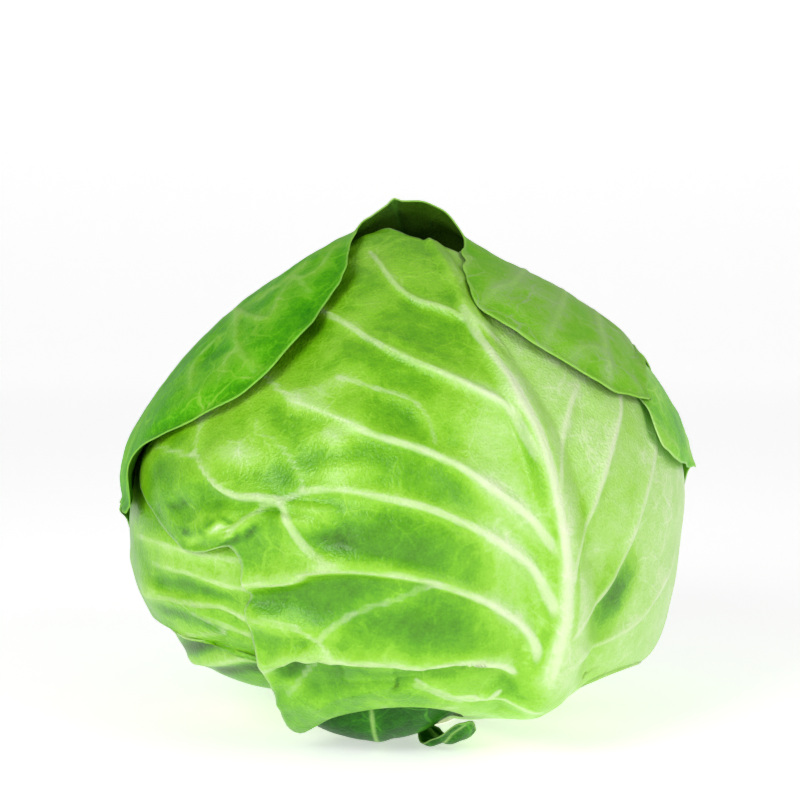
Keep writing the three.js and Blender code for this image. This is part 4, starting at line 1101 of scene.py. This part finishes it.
class CABBAGE_OT_inner_leaves(bpy.types.Operator):
    """Build the wrapper leaves under the two large ones"""
    bl_idname = "cabbage.inner_leaves"
    bl_label = "Inner leaves"

    def execute(self, context):
        look = dict(WAXY, by_rib=0.4, base=0.18, halo=0.18, stalk=0.1)
        material = leaf_material("Waxy inner leaf", look, leaf_greens())
        for name, columns, rows in (("under_leaf", 190, 120), ("low_leaf", 150, 100),
                                    ("back_leaf", 120, 100), ("right_leaf", 110, 90)):
            blade = Blade(name, columns, rows)
            blade.add_rib()
            if name in DETAIL:
                blade.add_detail()
            else:
                blade.add_row_veins(0.9, 0.5)
            blade.add_sags()
            blade.add_puckers(0.5, 0.1)
            blade.ruffle(0.6, 0.6, 12)
            leaf_piece(blade, look, material, "inner_leaf")
        return {"FINISHED"}


class CABBAGE_OT_side_leaf(bpy.types.Operator):
    """Build the thin leaf whose bright margin shows beside the hood"""
    bl_idname = "cabbage.side_leaf"
    bl_label = "Side leaf"

    def execute(self, context):
        blade = Blade("side_leaf", 150, 130)
        blade.add_row_veins(0.8, 0.4)
        blade.add_rib()
        blade.add_puckers(0.6, 0.15)
        blade.ruffle(1.6, 1.6, 10, 12)
        look = dict(WAXY, by_rib=0.3, cloud=0.2, net=0.25, gloss=0.2, wax=0.04, rough=0.42)
        greens = palette("#55b40a", "#7ed01c", "#a4de54", "#bce488")
        material = leaf_material("Thin leaf margin", look, [*greens, settings().vein_colour])
        leaf_piece(blade, look, material, "side_leaf")
        return {"FINISHED"}


class CABBAGE_OT_foot_leaves(bpy.types.Operator):
    """Build the leaf cupped at the foot and the torn stub beside it, their deep greens partly painted shade
    under the head
    """
    bl_idname = "cabbage.foot_leaves"
    bl_label = "Foot leaves"

    def execute(self, context):
        # deep greens and a base below zero: partly the leaves' own dark green, partly painted shade under
        # the overhanging head
        look = dict(WAXY, by_rib=0.1, halo=0.1, stalk=0.0, base=-0.05, rough=0.42, rim=0.6, net=0.25,
                    gloss=0.2, wax=0.05)
        material = leaf_material("Dark green foot leaf in painted shade", look,
                                 palette("#175504", "#2f7a08", "#58a81a", "#86c44a", "#a8d472"))
        for name, columns, rows in (("base_leaf", 120, 110), ("torn_leaf", 70, 70)):
            blade = Blade(name, columns, rows)
            blade.add_rib(0.06)
            blade.add_puckers(0.5, 0.15)
            blade.ruffle(0.7, 0.8, 7, 6)
            leaf_piece(blade, look, material, name)
        return {"FINISHED"}


class CABBAGE_OT_heart(bpy.types.Operator):
    """Build the heart of tightly folded leaves inside the wrapper leaves"""
    bl_idname = "cabbage.heart"
    bl_label = "Heart"

    def execute(self, context):
        bm = bmesh.new()
        bmesh.ops.create_icosphere(bm, subdivisions=6, radius=1.0)
        way = unit(np.array([v.co[:] for v in bm.verts]))
        turn = np.arctan2(way[:, 1], way[:, 0])
        fold = 0.5 * np.cos(5 * turn + 4 * way[:, 2]) * (1 - way[:, 2] ** 2)
        reach = head_radius(way) - HEART_DEPTH + fold + 0.3 * noise(way * 80, 14) - 0.3
        for vertex, place in zip(bm.verts, way * reach[:, None] + HEAD_MIDDLE):
            vertex.co = place * MM
        s = settings()
        greens = palette("#a5d469", "#b4dc7c", "#c0e38c")
        material = leaf_material("Packed heart leaf", dict(WAXY, line=0.0, rim=0.0),
                                 [*greens, s.leaf_pale, s.vein_colour])
        make_piece("heart_fine", meshed(bm, "heart"), "heart", "heart", material)
        return {"FINISHED"}


class CABBAGE_OT_stem(bpy.types.Operator):
    """Build the cut stump of the stem"""
    bl_idname = "cabbage.stem"
    bl_label = "Stem"

    def execute(self, context):
        skin = [(1.2, 0), (0.3, 0.5), (0, 1.5), (0.4, 4), (0.7, 8), (0.9, 13), (0.9, STEM_TOP - 1),
                (2.5, STEM_TOP)]
        profile = [(0, 0), *((STEM_RADIUS - inset, z) for inset, z in skin), (0, STEM_TOP)]
        bm = bmesh.new()
        line = [bm.verts.new((x * MM, 0, z * MM)) for x, z in profile]
        edges = [bm.edges.new(pair) for pair in zip(line, line[1:])]
        bmesh.ops.spin(bm, geom=line + edges, cent=(0, 0, 0), axis=(0, 0, 1), dvec=(0, 0, 0),
                       angle=radians(360), steps=96, use_merge=True)
        bmesh.ops.remove_doubles(bm, verts=bm.verts[:], dist=1e-6)
        for vertex in bm.verts:
            out = np.hypot(vertex.co.x, vertex.co.y)
            if out > 15 * MM and MM < vertex.co.z < 17 * MM:  # the skin, clear of both cut faces
                lump = 1 - 0.018 * (1 + noise(np.array(vertex.co) * [METRE, METRE, 300], 5))
                vertex.co.x *= lump
                vertex.co.y *= lump
        bmesh.ops.recalc_face_normals(bm, faces=bm.faces[:])
        make_piece("stem_fine", meshed(bm, "stem", flat_caps=True), "stem", "stem", stem_material())
        return {"FINISHED"}


def stem_material():
    """Freshly cut stem: wet white pith ringed by fibres, with a greener skin."""
    m = new_material("Cut stem pith")
    place = add_node(m, "ShaderNodeTexCoord").outputs["Object"]
    fibre = add_node(m, "ShaderNodeMapping", {"Vector": place, "Scale": (1.0, 1.0, 0.12)}).outputs[0]
    streak, stain = (add_node(m, "ShaderNodeTexNoise", {
        "Vector": vector, "Scale": METRE / size, "Detail": 3.0}).outputs["Fac"]
        for vector, size in ((fibre, 2.5), (place, 12.0)))
    amount = add_node(m, "ShaderNodeMath", {0: streak, 1: stain}, operation="ADD").outputs[0]
    share = add_node(m, "ShaderNodeMapRange", {0: amount, 1: 0.75, 2: 1.25}).outputs[0]
    colour = add_node(m, "ShaderNodeMix", {0: share, 6: [*linear("#c3cf94"), 1.0],
                                           7: [*linear("#e9edcf"), 1.0]}, data_type="RGBA").outputs[2]
    bump = add_node(m, "ShaderNodeBump", {"Strength": 0.5, "Distance": 0.0006, "Height": streak})
    shader = add_node(m, "ShaderNodeBsdfPrincipled", {
        "Base Color": colour, "Roughness": 0.6, "Normal": bump.outputs[0], "IOR": 1.4,
        "Subsurface Weight": 0.2, "Subsurface Radius": (1.0, 0.9, 0.5), "Subsurface Scale": 0.003})
    add_node(m, "ShaderNodeOutputMaterial", {"Surface": shader.outputs[0]})
    return m


class CABBAGE_OT_stage(bpy.types.Operator):
    """Build the pale floor, the studio lights and the camera"""
    bl_idname = "cabbage.stage"
    bl_label = "Stage"

    def execute(self, context):
        # lengths of the stage are in metres
        scene = context.scene
        half_width, half_length = 4.0, 3.0
        level, bend, radius = 1.6, 1.2, 0.76   # run of the level floor and of its bend upwards
        bm = bmesh.new()
        bmesh.ops.create_grid(bm, x_segments=8, y_segments=48, size=1.0)
        for vertex in bm.verts:
            run = vertex.co.y * half_length
            past = max(run - level, 0.0)
            angle = min(past, bend) / bend * np.pi / 2
            vertex.co = (vertex.co.x * half_width, min(run, level) + np.sin(angle) * radius,
                         (1 - np.cos(angle)) * radius + max(past - bend, 0.0))
        mesh = meshed(bm, "floor")
        floor = bpy.data.objects.new("floor", mesh)
        scene.collection.objects.link(floor)
        paper = new_material("White paper sweep")
        shader = add_node(paper, "ShaderNodeBsdfPrincipled", {
            "Base Color": [*linear("#fafafa"), 1.0], "Roughness": 0.9, "Specular IOR Level": 0.1,
            "Emission Color": [1.0, 1.0, 1.0, 1.0], "Emission Strength": 0.5})
        add_node(paper, "ShaderNodeOutputMaterial", {"Surface": shader.outputs[0]})
        mesh.materials.append(paper)

        world = bpy.data.worlds.new("studio")
        world.use_nodes = True
        sky = world.node_tree.nodes["Background"].inputs
        sky["Color"].default_value = (1, 1, 1, 1)
        sky["Strength"].default_value = 0.32
        scene.world = world
        for name, place, size, power in (("key", (-0.6, -0.92, 0.6), 0.5, 6.6),
                                         ("fill", (0.85, -0.75, 0.6), 0.7, 4.7)):
            light = bpy.data.lights.new(name, "AREA")
            light.size, light.energy = size, power
            lamp = bpy.data.objects.new(name, light)
            lamp.location = place
            aim = Vector((0, 0, 0.09)) - Vector(place)
            lamp.rotation_euler = aim.to_track_quat("-Z", "Y").to_euler()
            scene.collection.objects.link(lamp)

        lens = bpy.data.cameras.new("camera")
        lens.lens, lens.sensor_width = 100.0, 36.0
        camera = bpy.data.objects.new("camera", lens)
        height, distance = radians(5.0), 0.78
        camera.location = (-0.0007, -distance * np.cos(height), 0.1124 + distance * np.sin(height))
        camera.rotation_euler = (radians(90) - height, 0, 0)
        scene.collection.objects.link(camera)
        scene.camera = camera
        scene.view_settings.view_transform = "Standard"
        return {"FINISHED"}


class CABBAGE_PT_panel(bpy.types.Panel):
    """Lists the pieces of the cabbage and their settings"""
    bl_idname = "CABBAGE_PT_panel"
    bl_label = "Cabbage head"
    bl_space_type = "VIEW_3D"
    bl_region_type = "UI"
    bl_category = "Cabbage"

    def draw(self, context):
        for made in PIECES:
            self.layout.operator(made.bl_idname)
        for name in CabbageSettings.__annotations__:
            self.layout.prop(context.scene.cabbage, name)


PIECES = (CABBAGE_OT_front_leaf, CABBAGE_OT_hood_leaf, CABBAGE_OT_side_leaf, CABBAGE_OT_inner_leaves,
          CABBAGE_OT_foot_leaves, CABBAGE_OT_heart, CABBAGE_OT_stem, CABBAGE_OT_stage)


def register():
    for made in (CabbageSettings, *PIECES, CABBAGE_PT_panel):
        bpy.utils.register_class(made)
    bpy.types.Scene.cabbage = bpy.props.PointerProperty(type=CabbageSettings)


def unregister():
    del bpy.types.Scene.cabbage
    for made in (CABBAGE_PT_panel, *reversed(PIECES), CabbageSettings):
        bpy.utils.unregister_class(made)


def main():
    register()
    bpy.ops.cabbage.front_leaf()
    bpy.ops.cabbage.hood_leaf()
    bpy.ops.cabbage.side_leaf()
    bpy.ops.cabbage.inner_leaves()
    bpy.ops.cabbage.foot_leaves()
    bpy.ops.cabbage.heart()
    bpy.ops.cabbage.stem()
    bpy.ops.cabbage.stage()


if __name__ == "__main__":
    main()
